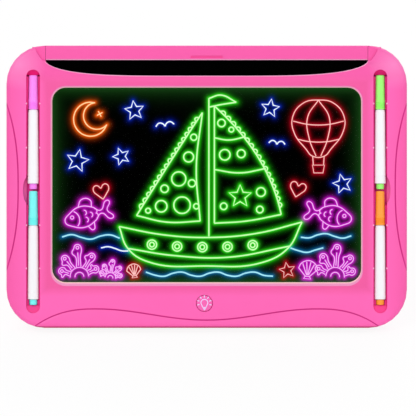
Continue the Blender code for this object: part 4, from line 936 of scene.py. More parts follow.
class Motif(Enum):
    """Plain motifs of the drawing, each of unit size."""

    STAR = "star"
    CRESCENT = "crescent"
    BALLOON = "balloon"
    FISH = "fish"
    SHELL = "shell"
    HEART = "heart"
    CORAL = "coral"
    GULL = "gull"

    def lines(self, tone: Neon) -> list[Line]:
        """Draw the motif in one colour."""
        return [replace(line, tone=tone) for line in getattr(self, f"draw_{self.value}")()]

    def draw_star(self) -> list[Line]:
        """Draw a five-pointed star.

        Returns:
            Its outline.
        """
        corners, waist = 5, 0.45
        points = []
        for step in range(2 * corners):
            radius = waist if step % 2 else 1.0
            points.append(around((0.0, 0.0), radius, math.radians(90 + 180 / corners * step)))
        return [Line(points, closed=True, smooth=False)]

    def draw_crescent(self) -> list[Line]:
        """Draw a crescent moon with two small sparks.

        Returns:
            Its lines.
        """
        outer = bow((0.0, 0.0), 1.0, 48, 312, 12)
        inner = bow((0.42, 0.0), 0.79, 290, 70, 10)
        return [outer, inner, Line(((0.62, -0.16), (0.62, 0.2))), Line(((0.44, 0.02), (0.8, 0.02)))]

    def draw_balloon(self) -> list[Line]:
        """Draw a balloon with gores, ropes and a basket.

        Returns:
            Its lines.
        """
        right = [(0.5, 0.9), (0.86, 0.42), (0.8, -0.1), (0.42, -0.62), (0.2, -0.86)]
        hull = [(0.0, 1.0), *right, *mirrored(right)]
        gore = [(0.0, 1.0), (0.36, 0.42), (0.3, -0.3), (0.08, -0.86)]
        basket = ((-0.2, -1.16), (0.2, -1.16), (0.15, -1.42), (-0.15, -1.42))
        return [
            Line(hull, closed=True),
            Line(gore),
            Line(mirrored(gore)),
            Line(((-0.84, 0.3), (-0.4, 0.2), (0.0, 0.17), (0.4, 0.2), (0.84, 0.3))),
            Line(((-0.7, -0.3), (-0.3, -0.38), (0.3, -0.38), (0.7, -0.3))),
            Line(basket, closed=True, smooth=False),
            Line(((-0.19, -0.86), (-0.17, -1.16))),
            Line(((0.19, -0.86), (0.17, -1.16))),
        ]

    def draw_fish(self) -> list[Line]:
        """Draw a fish with fins, a gill and scales.

        Returns:
            Its lines.
        """
        eye, scale = 0.07, 0.12
        top = [(1.0, 0.0), (0.7, 0.3), (0.2, 0.46), (-0.3, 0.3), (-0.62, 0.07)]
        tail = [(-0.95, 0.4), (-1.08, 0.36), (-0.9, 0.0), (-1.08, -0.36), (-0.95, -0.4)]
        low = [(x, -y) for x, y in reversed(top[1:])]
        lines = [
            Line(top + tail + low, closed=True),
            ring(eye, (0.66, 0.1), 6),
            bow((0.78, 0.0), 0.42, 128, 232),
            Line(((0.3, 0.45), (0.05, 0.74), (-0.3, 0.62), (-0.28, 0.32))),
            Line(((0.1, -0.44), (-0.1, -0.66), (-0.22, -0.36))),
        ]
        for place in ((0.12, 0.16), (0.12, -0.16), (-0.12, 0.0), (-0.34, 0.1), (-0.34, -0.1)):
            lines.append(bow(place, scale, 110, 250, 4))
        return lines

    def draw_shell(self) -> list[Line]:
        """Draw a fan-shaped shell with its ribs.

        Returns:
            Its lines.
        """
        foot, foot_share = -0.5, 0.16
        right = [(0.0, 0.88), (0.34, 0.8), (0.72, 0.52), (0.9, 0.1)]
        rim = [*mirrored(right[1:]), *right]
        lines = [
            Line(rim),
            Line(((-0.9, 0.1), (-0.2, -0.62), (0.2, -0.62), (0.9, 0.1)), smooth=False),
            Line(((-0.2, -0.62), (-0.34, -0.86), (0.34, -0.86), (0.2, -0.62)), smooth=False),
        ]
        for x, y in ((-0.56, 0.56), (-0.2, 0.76), (0.2, 0.76), (0.56, 0.56)):
            lines.append(Line(((x * foot_share, foot), (x, y))))
        return lines

    def draw_heart(self) -> list[Line]:
        """Draw a heart, and return its two halves."""
        right = [(0.0, -0.9), (0.5, -0.35), (0.88, 0.2), (0.78, 0.66), (0.4, 0.76), (0.0, 0.36)]
        return [Line(right), Line(mirrored(right))]

    def draw_coral(self) -> list[Line]:
        """Draw branched coral on a mound, with round tips.

        Returns:
            Its lines.
        """
        foot = -0.9
        lines = [bow((0.0, foot), radius, 0, 180) for radius in (0.42, 0.2)]
        for turn, length in ((-68, 0.8), (-35, 1.06), (0, 1.3), (35, 1.04), (68, 0.82)):
            lines += [line.placed(Place(0.0, foot, 1.0, turn)) for line in self.branch(length)]
        return lines

    def branch(self, length: float) -> list[Line]:
        """Draw one upright branch of the coral.

        Args:
            length: Height of its round tip's middle.

        Returns:
            Its outline, the round eye of the tip and its vein.
        """
        foot, wide, tip = 0.44, 0.1, 0.17
        neck = foot + (length - foot) / 2
        bud = (length + neck) / 2
        crown, shoulder = length + tip * 0.7, length - 0.04
        right = [(tip / 2, crown), (tip, shoulder), (wide, neck), (wide, foot)]
        left = mirrored(right)
        left.insert(2, (-tip * 1.5, bud))
        eye, vein_foot = ring(tip * 0.36, (0.0, length), 6), foot + 0.06
        return [Line((*left, *right)), eye, Line(((0.0, vein_foot), (0.0, bud)))]

    def draw_gull(self) -> list[Line]:
        """Draw a gull in flight, and return its two wings."""
        left = [(-1.0, 0.1), (-0.6, 0.42), (-0.2, 0.3), (0.0, 0.0)]
        return [Line(left), Line(mirrored(left))]


@dataclass
class Boat:
    """Sailing boat in the middle of the drawing, in metres from the window's middle."""

    keel: Way = (
        (-0.08, -0.038), (-0.072, -0.058), (-0.054, -0.07), (0.0, -0.074), (0.05, -0.071),
        (0.074, -0.058), (0.087, -0.034),
    )
    sheer: Way = ((-0.08, -0.038), (-0.04, -0.0455), (0.0, -0.048), (0.044, -0.0445), (0.087, -0.034))
    plank: Way = ((-0.072, -0.058), (-0.03, -0.0645), (0.02, -0.066), (0.0755, -0.056))
    porthole: float = 0.0042
    portholes: Way = (
        (-0.05, -0.0545), (-0.027, -0.0562), (-0.004, -0.0568), (0.019, -0.0565), (0.042, -0.055)
    )
    mast_x: float = 0.002
    mast_foot: float = -0.047
    mast_top: float = 0.079
    pennant_top: Way = ((0.013, 0.082), (0.027, 0.0755))
    pennant_low: Way = ((0.027, 0.0755), (0.014, 0.0735))
    pennant_foot: float = 0.071
    luff_gap: float = 0.005
    main_head: float = 0.072
    main_pull: Point = (0.0565, 0.0275)
    main_clew: Point = (0.068, -0.027)
    main_foot: Point = (0.036, -0.033)
    main_tack: float = -0.035
    seams: tuple[tuple[float, Point, Point], ...] = (
        (0.043, (0.02, 0.041), (0.0355, 0.044)), (0.014, (0.03, 0.011), (0.054, 0.015))
    )
    star: Place = Place(0.0305, -0.0105, 0.0105)
    jib_head: Point = (-0.004, 0.066)
    jib_clew: Point = (-0.006, -0.033)
    jib_tack: Point = (-0.064, -0.028)
    jib_pull: Point = (-0.0315, 0.0245)
    jib_leech: Point = (-0.0095, 0.016)
    jib_foot: Point = (-0.036, -0.034)
    bumps: int = 19
    bump: float = 0.0026
    jib_patches: tuple[Triple, ...] = (
        (-0.0225, -0.0185, 0.0075), (-0.0415, -0.0195, 0.0052), (-0.0255, 0.0055, 0.0064),
        (-0.0135, 0.0015, 0.0032), (-0.0165, 0.0255, 0.0045), (-0.0118, 0.0435, 0.0028),
        (-0.0095, -0.0195, 0.0024), (-0.0385, -0.0035, 0.0034), (-0.0535, -0.0235, 0.0022),
    )
    main_patches: tuple[Triple, ...] = (
        (0.0165, 0.0275, 0.0048), (0.0315, 0.0285, 0.0036), (0.0135, 0.0565, 0.0034),
        (0.0225, 0.0505, 0.0022), (0.0495, -0.0065, 0.004), (0.0155, -0.0195, 0.003),
        (0.0485, -0.0225, 0.003),
    )

    def lines(self) -> list[Line]:
        """Draw the hull, the mast, the sails and the pennant."""
        return [*self.hull(), *self.main_sail(), *self.jib(), *self.pennant()]

    def hull(self) -> list[Line]:
        """Draw the hull with its sheer line, a plank line and portholes.

        Returns:
            Its lines.
        """
        lines = [Line(way) for way in (self.keel, self.sheer, self.plank)]
        for place in self.portholes:
            lines += [ring(self.porthole, place, 6), ring(self.porthole / 2, place, 6)]
        return lines

    def main_sail(self) -> list[Line]:
        """Draw the mast and the sail behind it, with a boom, seams, patches and a star.

        Returns:
            Its lines.
        """
        luff = self.mast_x + self.luff_gap
        head, tack = (luff, self.main_head), (luff, self.main_tack)
        leech = swept(head, self.main_pull, self.main_clew, self.bumps)
        lines = [
            Line(((self.mast_x, self.mast_foot), (self.mast_x, self.mast_top))),
            Line(leech),
            *frill(leech[1:-1], self.bump),
            Line((self.main_clew, self.main_foot, tack)),
            Line((tack, head)),
        ]
        lines += [Line(((luff, height), middle, end)) for height, middle, end in self.seams]
        lines += [ring(radius, (x, y)) for x, y, radius in self.main_patches]
        return lines + [line.placed(self.star) for line in Motif.STAR.lines(Neon.GREEN)]

    def jib(self) -> list[Line]:
        """Draw the sail before the mast, with round patches.

        Returns:
            Its lines.
        """
        front = swept(self.jib_tack, self.jib_pull, self.jib_head, self.bumps)
        lines = [
            Line(front),
            *frill(front[1:-1], self.bump),
            Line((self.jib_tack, self.jib_foot, self.jib_clew)),
            Line((self.jib_clew, self.jib_leech, self.jib_head)),
        ]
        return lines + [ring(radius, (x, y)) for x, y, radius in self.jib_patches]

    def pennant(self) -> list[Line]:
        """Draw the pennant at the masthead."""
        top, foot = (self.mast_x, self.mast_top), (self.mast_x, self.pennant_foot)
        return [Line((top, *self.pennant_top)), Line((*self.pennant_low, foot))]


@dataclass
class Waves:
    """Rows of waves along the foot of the drawing, which stop at the hull."""

    length: float = 0.033
    height: float = 0.0042
    steps: int = 4
    rows: tuple[tuple[float, float, float, Neon], ...] = (
        (-0.132, -0.0795, -0.0475, Neon.CYAN),
        (0.086, 0.132, -0.0465, Neon.CYAN),
        (-0.0965, -0.0715, -0.0585, Neon.BLUE),
        (0.0765, 0.1065, -0.0595, Neon.CYAN),
        (-0.0555, 0.0605, -0.0815, Neon.CYAN),
    )

    def row(self, start: float, end: float, level: float, tone: Neon) -> Line:
        """Draw one wavy line.

        Args:
            start: Left end.
            end: Right end.
            level: Height of its middle.
            tone: Its colour.

        Returns:
            The line.
        """
        steps = max(self.steps, round(abs(end - start) / self.length * self.steps))
        points = []
        for step in range(steps + 1):
            x = start + (end - start) * step / steps
            points.append((x, level + self.height / 2 * math.sin(math.tau * x / self.length)))
        return Line(points, tone)

    def lines(self) -> list[Line]:
        """Draw every row."""
        return [self.row(*row) for row in self.rows]


@dataclass
class Drawing:
    """Neon drawing on the clear panel: raised glowing lines over a sheet of their glow."""

    middle_y: float
    level: float
    half_width: float
    half_height: float
    rise: float = 0.55
    lift: float = 0.00012
    cell: float = 0.0012
    tight: float = 0.00165
    wide: float = 0.0036
    near_share: float = 0.8
    far_share: float = 0.2
    faint: float = 0.0001
    sample: float = 0.0008
    motifs: tuple[tuple[Motif, Neon, Place], ...] = (
        (Motif.CRESCENT, Neon.ORANGE, Place(-0.106, 0.06, 0.0155, 28)),
        (Motif.STAR, Neon.BLUE, Place(-0.066, 0.068, 0.009, 8)),
        (Motif.STAR, Neon.BLUE, Place(-0.118, 0.022, 0.0105, -12)),
        (Motif.STAR, Neon.BLUE, Place(-0.078, 0.026, 0.008, 20)),
        (Motif.STAR, Neon.BLUE, Place(0.058, 0.07, 0.0085, -8)),
        (Motif.STAR, Neon.BLUE, Place(0.124, 0.001, 0.009, 14)),
        (Motif.BALLOON, Neon.RED, Place(0.102, 0.05, 0.0275)),
        (Motif.HEART, Neon.RED, Place(0.083, -0.004, 0.008, -14)),
        (Motif.HEART, Neon.RED, Place(-0.096, -0.006, 0.008, 12)),
        (Motif.FISH, Neon.MAGENTA, Place(-0.109, -0.028, 0.021, 16, True)),
        (Motif.FISH, Neon.MAGENTA, Place(0.112, -0.0275, 0.0205, -12)),
        (Motif.CORAL, Neon.MAGENTA, Place(-0.1175, -0.0655, 0.0205, 4)),
        (Motif.CORAL, Neon.MAGENTA, Place(0.1185, -0.0655, 0.0205, -4)),
        (Motif.CORAL, Neon.MAGENTA, Place(-0.0865, -0.0745, 0.0118, -8)),
        (Motif.SHELL, Neon.MAGENTA, Place(0.0925, -0.0775, 0.0096, -6)),
        (Motif.STAR, Neon.RED, Place(0.0735, -0.078, 0.0074, 10)),
        (Motif.SHELL, Neon.RED, Place(-0.0665, -0.0785, 0.0072, 8)),
        (Motif.GULL, Neon.BLUE, Place(-0.038, 0.0535, 0.0085, 8)),
        (Motif.GULL, Neon.BLUE, Place(0.064, 0.037, 0.0075, -6)),
    )

    def lines(self) -> list[Line]:
        """Collect the lines of every motif.

        Returns:
            The lines, in the board's frame.
        """
        found = Boat().lines() + Waves().lines()
        for motif, tone, place in self.motifs:
            found += [line.placed(place) for line in motif.lines(tone)]
        home = Place(0.0, self.middle_y, 1.0)
        return [line.placed(home) for line in found]

    def build(self) -> list[Object]:
        """Make the strokes of each colour and the sheet of glow.

        Returns:
            The pieces.
        """
        groups = {tone: [line for line in self.lines() if line.tone is tone] for tone in Neon}
        pieces = [self.strokes(tone, lines) for tone, lines in groups.items()]
        pieces.append(self.glow_sheet(groups))
        return pieces

    def strokes(self, tone: Neon, lines: list[Line]) -> Object:
        """Make the strokes of one colour.

        Args:
            tone: The colour.
            lines: Its lines.

        Returns:
            The strokes as one piece.
        """
        ink, name, centre = tone.value, tone.name.lower(), (0, 0, self.level)
        material = ink.material(f"neon_{name}")
        item = raised_strokes(f"neon_lines_{name}", lines, ink.stroke, self.rise, centre, material)
        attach(item, "case")
        return item

    def near_tree(self, lines: list[Line]) -> KDTree:
        """Sort points close together along the lines of one colour, to find the nearest fast.

        Args:
            lines: The lines.

        Returns:
            The sorted points.
        """
        mesh = curve_mesh("glow_guide", lines, 0.0)
        points = []
        for edge in mesh.edges:
            start, end = (mesh.vertices[index].co for index in edge.vertices)
            steps = max(1, math.ceil((end - start).length / self.sample))
            points += [start.lerp(end, step / steps) for step in range(steps)]
        bpy.data.meshes.remove(mesh)
        tree = KDTree(len(points))
        for index, point in enumerate(points):
            tree.insert((point.x, point.y, 0.0), index)
        tree.balance()
        return tree

    def light_at(self, place: Vector, trees: dict[Neon, KDTree]) -> Vector:
        """Add up the light that every colour's nearest line throws on a place.

        Args:
            place: The place on the panel.
            trees: Sorted points of each colour.

        Returns:
            The light, as a linear colour.
        """
        total = Vector((0.0, 0.0, 0.0))
        for tone, tree in trees.items():
            distance = tree.find((place.x, place.y, 0.0))[2]
            near = self.near_share * math.exp(-((distance / self.tight) ** 2))
            far = self.far_share * math.exp(-((distance / self.wide) ** 2))
            total += Vector(tone.value.glow) * (near + far)
        return total

    def glow_sheet(self, groups: dict[Neon, list[Line]]) -> Object:
        """Make the thin sheet that carries the glow as a colour and a strength for each corner.

        Args:
            groups: The lines of each colour.

        Returns:
            The sheet.
        """
        bm = bmesh.new()
        columns = round(2 * self.half_width / self.cell)
        rows = round(2 * self.half_height / self.cell)
        bmesh.ops.create_grid(bm, x_segments=columns, y_segments=rows, size=1.0)
        bmesh.ops.scale(bm, vec=(self.half_width, self.half_height, 1), verts=bm.verts)
        bmesh.ops.translate(bm, vec=(0, self.middle_y, self.level + self.lift), verts=bm.verts)
        trees = {tone: self.near_tree(lines) for tone, lines in groups.items()}
        colour = bm.verts.layers.float_color.new("glow_colour")
        strength = bm.verts.layers.float.new("glow_strength")
        for vertex in bm.verts:
            light = self.light_at(vertex.co, trees)
            peak = max(light)
            vertex[strength] = min(peak, 1.0)
            vertex[colour] = (*(light / max(peak, self.faint)), 1.0)
        item = finished_object("neon_glow", bm, self.glow_material())
        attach(item, "case")
        return item

    def glow_material(self) -> Material:
        """Build the see-through material that gives off the sheet's own colours.

        Returns:
            The material.
        """
        material, kit, shader = new_material("neon_glow", {
            "Base Color": (0.0, 0.0, 0.0),
            "Roughness": 1.0,
            "Specular IOR Level": 0.0,
            "Emission Strength": 1.0,
        })
        tint = kit.add("ShaderNodeAttribute", attribute_name="glow_colour")
        share = kit.add("ShaderNodeAttribute", attribute_name="glow_strength")
        kit.fill(shader, {"Emission Color": tint.outputs["Color"], "Alpha": share.outputs["Fac"]})
        return material


@dataclass
class Marker:
    """One marker, turned finer than the CAD model: cap, barrel and end plug."""

    number: int
    steps: int = 48
    edge: float = 0.0004
    rib_count: int = 9
    rib: float = 0.00022
    rib_start: float = 0.0012
    rib_span: float = 0.0055
    skirt: float = 0.0085
    step_length: float = 0.001
    step_depth: float = 0.0002
    cap_taper: float = 0.0005
    cap_wall: float = 0.0009
    cap_gap: float = 0.0003
    neck_depth: float = 0.0008
    tip_radius: float = 0.0032
    barrel_wall: float = 0.0018
    band: tuple[float, ...] = (0.0062, 0.0064, 0.0069, 0.0071)
    band_depth: float = 0.00015
    collar: Way = ((0.0003, 0.0022), (0.0001, 0.0019), (0.0001, 0.0014), (0.0002, 0.0012))
    plug_gap: float = 0.0003
    stem_depth: float = 0.0006

    def build(self) -> list[Object]:
        """Turn the cap, the barrel and the plug.

        Returns:
            The three pieces.
        """
        ink = Palette.CAPS[self.number]
        return [
            self.turn("cap", self.cap_profile(), ink, f"marker_{self.number}_cap"),
            self.turn("barrel", self.barrel_profile(), Palette.WHITE, f"marker_{self.number}"),
            self.turn("plug", self.plug_profile(), ink, f"marker_{self.number}"),
        ]

    def box(self, kind: str) -> tuple[Vector, Vector]:
        """Box of one of the marker's nodes in the board's frame."""
        return SPACE.box(f"marker_{self.number}_{kind}")

    def cap_profile(self) -> Outline:
        """List the outside and the inside of the cap, from its mouth round its tip and back.

        Returns:
            The points, as radius and height.
        """
        low, high = self.box("cap")
        mouth = (high.x - low.x) / 2
        tip = mouth - self.cap_taper
        ceiling = high.y - self.cap_wall
        outside = [(mouth - self.edge, low.y), (mouth, low.y + self.edge)]
        for index in range(self.rib_count):
            y = low.y + self.rib_start + self.rib_span * index / self.rib_count
            outside += [(mouth, y), (mouth - self.rib, y + self.rib), (mouth, y + 2 * self.rib)]
        skirt = low.y + self.skirt
        outside += [
            (mouth, skirt), (mouth - self.step_depth, skirt + self.step_length),
            (tip, high.y - 3 * self.edge), (tip - self.edge / 3, high.y - self.edge),
            (tip - 1.5 * self.edge, high.y), (0.0, high.y),
        ]
        inner_tip = tip - self.cap_wall - self.edge
        return [*outside, (0.0, ceiling), (inner_tip, ceiling), (mouth - self.cap_wall, low.y)]

    def barrel_profile(self) -> Outline:
        """List the outside of the barrel with its band, shoulder, neck ring and tip.

        Returns:
            The points, as radius and height.
        """
        low, high = self.box("barrel")
        shoulder = self.box("cap")[0].y - self.cap_gap
        wide = (high.x - low.x) / 2
        neck = wide - self.neck_depth
        sunk = wide - self.band_depth
        start, *middle, end = (low.y + rise for rise in self.band)
        tip, blunt = self.tip_radius, 2 * self.edge
        return [
            (wide - self.barrel_wall, low.y), (wide - self.edge, low.y), (wide, low.y + self.edge),
            (wide, start), *((sunk, rise) for rise in middle), (wide, end),
            *((neck + out, shoulder - drop) for out, drop in self.collar),
            (neck, shoulder - self.edge), (neck - self.edge, shoulder), (tip, shoulder),
            (tip, high.y - blunt), (tip - blunt, high.y), (0.0, high.y),
        ]

    def plug_profile(self) -> Outline:
        """List the outside of the plug below the barrel, and its stem.

        Returns:
            The points, as radius and height.
        """
        low, high = self.box("plug")
        seat = self.box("barrel")[0].y - self.plug_gap
        rim = (high.x - low.x) / 2
        stem = rim - self.stem_depth
        return [
            (0.0, low.y), (rim - 2 * self.edge, low.y), (rim - self.edge / 2, low.y + self.edge / 2),
            (rim, low.y + 2 * self.edge), (rim, seat - self.edge), (rim - self.edge, seat),
            (stem, seat), (stem, high.y), (0.0, high.y),
        ]

    def turn(self, kind: str, profile: Outline, finish: Finish, body: str) -> Object:
        """Spin a profile about the marker's axis and let it stand for its node.

        Args:
            kind: Which node of the marker.
            profile: Points of radius and height.
            finish: Its finish.
            body: Body that it rides on.

        Returns:
            The turned piece.
        """
        low, high = self.box(kind)
        axis = Vector(((low.x + high.x) / 2, 0, (low.z + high.z) / 2))
        bm = bmesh.new()
        points = [bm.verts.new((axis.x + radius, y, axis.z)) for radius, y in profile]
        edges = [bm.edges.new(pair) for pair in zip(points, points[1:])]
        if profile[0][0] > 0 and profile[-1][0] > 0:
            edges.append(bm.edges.new((points[-1], points[0])))
        bmesh.ops.spin(
            bm, geom=[*points, *edges], cent=axis, axis=(0, 1, 0), angle=math.tau,
            steps=self.steps, use_merge=True,
        )
        bmesh.ops.remove_doubles(bm, verts=bm.verts, dist=MERGE)
        rims = [edge for edge in bm.edges if edge.is_boundary]
        if rims:
            bmesh.ops.holes_fill(bm, edges=rims)
        bmesh.ops.recalc_face_normals(bm, faces=bm.faces)
        node = f"marker_{self.number}_{kind}"
        item = finished_object(f"{node}_turned", bm, finish.material())
        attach(item, body)
        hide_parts(node)
        return item


@dataclass
class Screw:
    """Pan-head screw with a cross recess, in place of one CAD screw."""

    node: str
    body: str
    shank_share: float = 0.55
    disc_share: float = 0.8
    crown_share: float = 0.96
    drop_shares: Triple = (0.25, 0.3, 0.45)
    head_height: float = 0.0019
    recess: float = 0.0009
    cells: int = 7
    arm_cells: float = 1.5

    def build(self) -> Object:
        """Form the screw and let it stand for its node.

        Returns:
            The screw.
        """
        low, high = SPACE.box(self.node)
        radius = (high.x - low.x) / 2
        bm = self.disc(radius)
        self.draw_out(bm, high.z - low.z)
        bmesh.ops.rotate(bm, cent=(0, 0, 0), matrix=Matrix.Rotation(math.pi, 3, "X"), verts=bm.verts)
        centre = ((low.x + high.x) / 2, (low.y + high.y) / 2, low.z)
        bmesh.ops.translate(bm, vec=centre, verts=bm.verts)
        bmesh.ops.recalc_face_normals(bm, faces=bm.faces)
        item = finished_object(f"{self.node}_turned", bm, Palette.STEEL.material())
        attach(item, self.body)
        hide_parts(self.node)
        return item

    def disc(self, radius: float) -> BMesh:
        """Form the head's flat top from a grid mapped to a disc, and sink the cross into it.

        Args:
            radius: Radius of the head.

        Returns:
            The disc.
        """
        bm = bmesh.new()
        bmesh.ops.create_grid(bm, x_segments=self.cells, y_segments=self.cells, size=1.0)
        for vertex in bm.verts:
            square = max(abs(vertex.co.x), abs(vertex.co.y))
            if square:
                vertex.co = vertex.co.normalized() * square
        half_cell = 1 / self.cells
        arms = []
        for face in bm.faces:
            place = face.calc_center_median()
            thin = min(abs(place.x), abs(place.y)) < half_cell
            if thin and place.length < 1 - half_cell * self.arm_cells:
                arms.append(face)
        across = radius * self.disc_share
        bmesh.ops.scale(bm, vec=(across, across, 1), verts=bm.verts)
        sunk = bmesh.ops.extrude_face_region(bm, geom=arms)["geom"]
        bmesh.ops.delete(bm, geom=arms, context="FACES_ONLY")
        floor = [part for part in sunk if isinstance(part, bmesh.types.BMVert)]
        bmesh.ops.translate(bm, vec=(0, 0, -self.recess), verts=floor)
        return bm

    def draw_out(self, bm: BMesh, length: float) -> None:
        """Draw the disc's rim out over the head's edge and down along the shank.

        Args:
            bm: The disc.
            length: Length of the whole screw.
        """
        crown, brim, side = (share * self.head_height for share in self.drop_shares)
        levels = (
            (self.crown_share / self.disc_share, crown),
            (1 / self.crown_share, brim),
            (1.0, side),
            (self.shank_share, 0.0),
            (1.0, length - self.head_height),
        )
        rim = [edge for edge in bm.edges if edge.is_boundary]
        for grow, drop in levels:
            made = bmesh.ops.extrude_edge_only(bm, edges=rim)["geom"]
            points = [part for part in made if isinstance(part, bmesh.types.BMVert)]
            rim = [part for part in made if isinstance(part, bmesh.types.BMEdge)]
            bmesh.ops.scale(bm, vec=(grow, grow, 1), verts=points)
            bmesh.ops.translate(bm, vec=(0, 0, -drop), verts=points)
        bmesh.ops.holes_fill(bm, edges=rim)


@dataclass
class ModeButton:
    """Icon on the round mode button: a light bulb with rays."""

    stroke: float = 0.0005
    rise: float = 0.4
    bulb: float = 0.0031
    glass_arc: Point = (-38, 218)
    glass_steps: int = 10
    neck_half_share: float = 0.42
    neck_drop_share: float = 1.42
    contact_drop_share: float = 0.62
    middle: float = 0.0006
    rays: int = 7
    ray_turn: float = 36.0
    ray_start: float = 0.0047
    ray_end: float = 0.0068

    def build(self) -> Object:
        """Draw the icon in thin raised lines on the button's face.

        Returns:
            The icon.
        """
        low, high = SPACE.box("button_cap")
        middle = (low + high) / 2
        centre = (middle.x, middle.y, high.z - self.stroke * self.rise)
        lines = self.bulb_lines() + self.ray_lines()
        ink = Palette.ICON.material()
        item = raised_strokes("button_icon", lines, self.stroke, self.rise, centre, ink)
        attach(item, "button")
        return item

    def bulb_lines(self) -> list[Line]:
        """Draw the bulb's glass and its screw base.

        Returns:
            Their lines.
        """
        glass = bow((0.0, self.middle), self.bulb, *self.glass_arc, self.glass_steps).points
        half, neck = self.bulb * self.neck_half_share, self.middle - self.bulb * self.neck_drop_share
        thread, contact = neck - self.bulb / 3, neck - self.bulb * self.contact_drop_share
        return [
            Line((*glass, (-half, neck))),
            Line((glass[0], (half, neck))),
            Line(((-half, neck), (half, neck)), smooth=False),
            Line(((-half, thread), (half, thread)), smooth=False),
            Line(((-half / 2, contact), (half / 2, contact))),
        ]

    def ray_lines(self) -> list[Line]:
        """Draw the rays, spread evenly over the top.

        Returns:
            Their lines.
        """
        lines = []
        for index in range(self.rays):
            angle = math.radians(90 + (index - self.rays // 2) * self.ray_turn)
            reaches = (self.ray_start, self.ray_end)
            lines.append(Line([around((0.0, self.middle), reach, angle) for reach in reaches]))
        return lines


@dataclass
class Shell:
    """Smooth stand-in for one moulded CAD node, in one finish."""

    node: str
    body: str
    finish: Finish = Palette.PINK
    slot: str = "pink_plastic"

    def build(self) -> Object:
        """Merge a copy of the node, refine it, and let it stand for the node.

        Returns:
            The shell.
        """
        bm = bmesh.new()
        bm.from_mesh(frame["nodes"][self.node].data)
        bm.transform(SPACE.to_world.inverted())
        bmesh.ops.remove_doubles(bm, verts=bm.verts, dist=MERGE)
        bmesh.ops.dissolve_limit(bm, angle_limit=FLAT_ANGLE, verts=bm.verts, edges=bm.edges)
        self.refine(bm)
        zones = self.zones()
        for face in bm.faces:
            place, normal = face.calc_center_median(), face.normal
            for index, (_, holds) in enumerate(zones, 1):
                if holds(place, normal):
                    face.material_index = index
                    break
        item = finished_object(f"{self.node}_shell", bm, self.finish.material())
        for finish, _ in zones:
            item.data.materials.append(finish.material())
        weigh_normals(item)
        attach(item, self.body)
        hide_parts(self.node)
        return item

    def refine(self, bm: BMesh) -> None:
        """Leave room for shells that need finer edges."""

    def zones(self) -> list[Zone]:
        """List the zones of the shell that have a finish of their own."""
        return []


@dataclass(frozen=True)
class Slots:
    """Where the two marker slots and their snap nubs lie in the face."""

    across: float = 0.1584
    half: float = 0.0062
    low: float = -0.1154
    high: float = 0.1068
    floor: float = 0.0131
    nub_rows: tuple[float, ...] = (0.0759, 0.0356, -0.0351, -0.0745)


SLOTS = Slots()


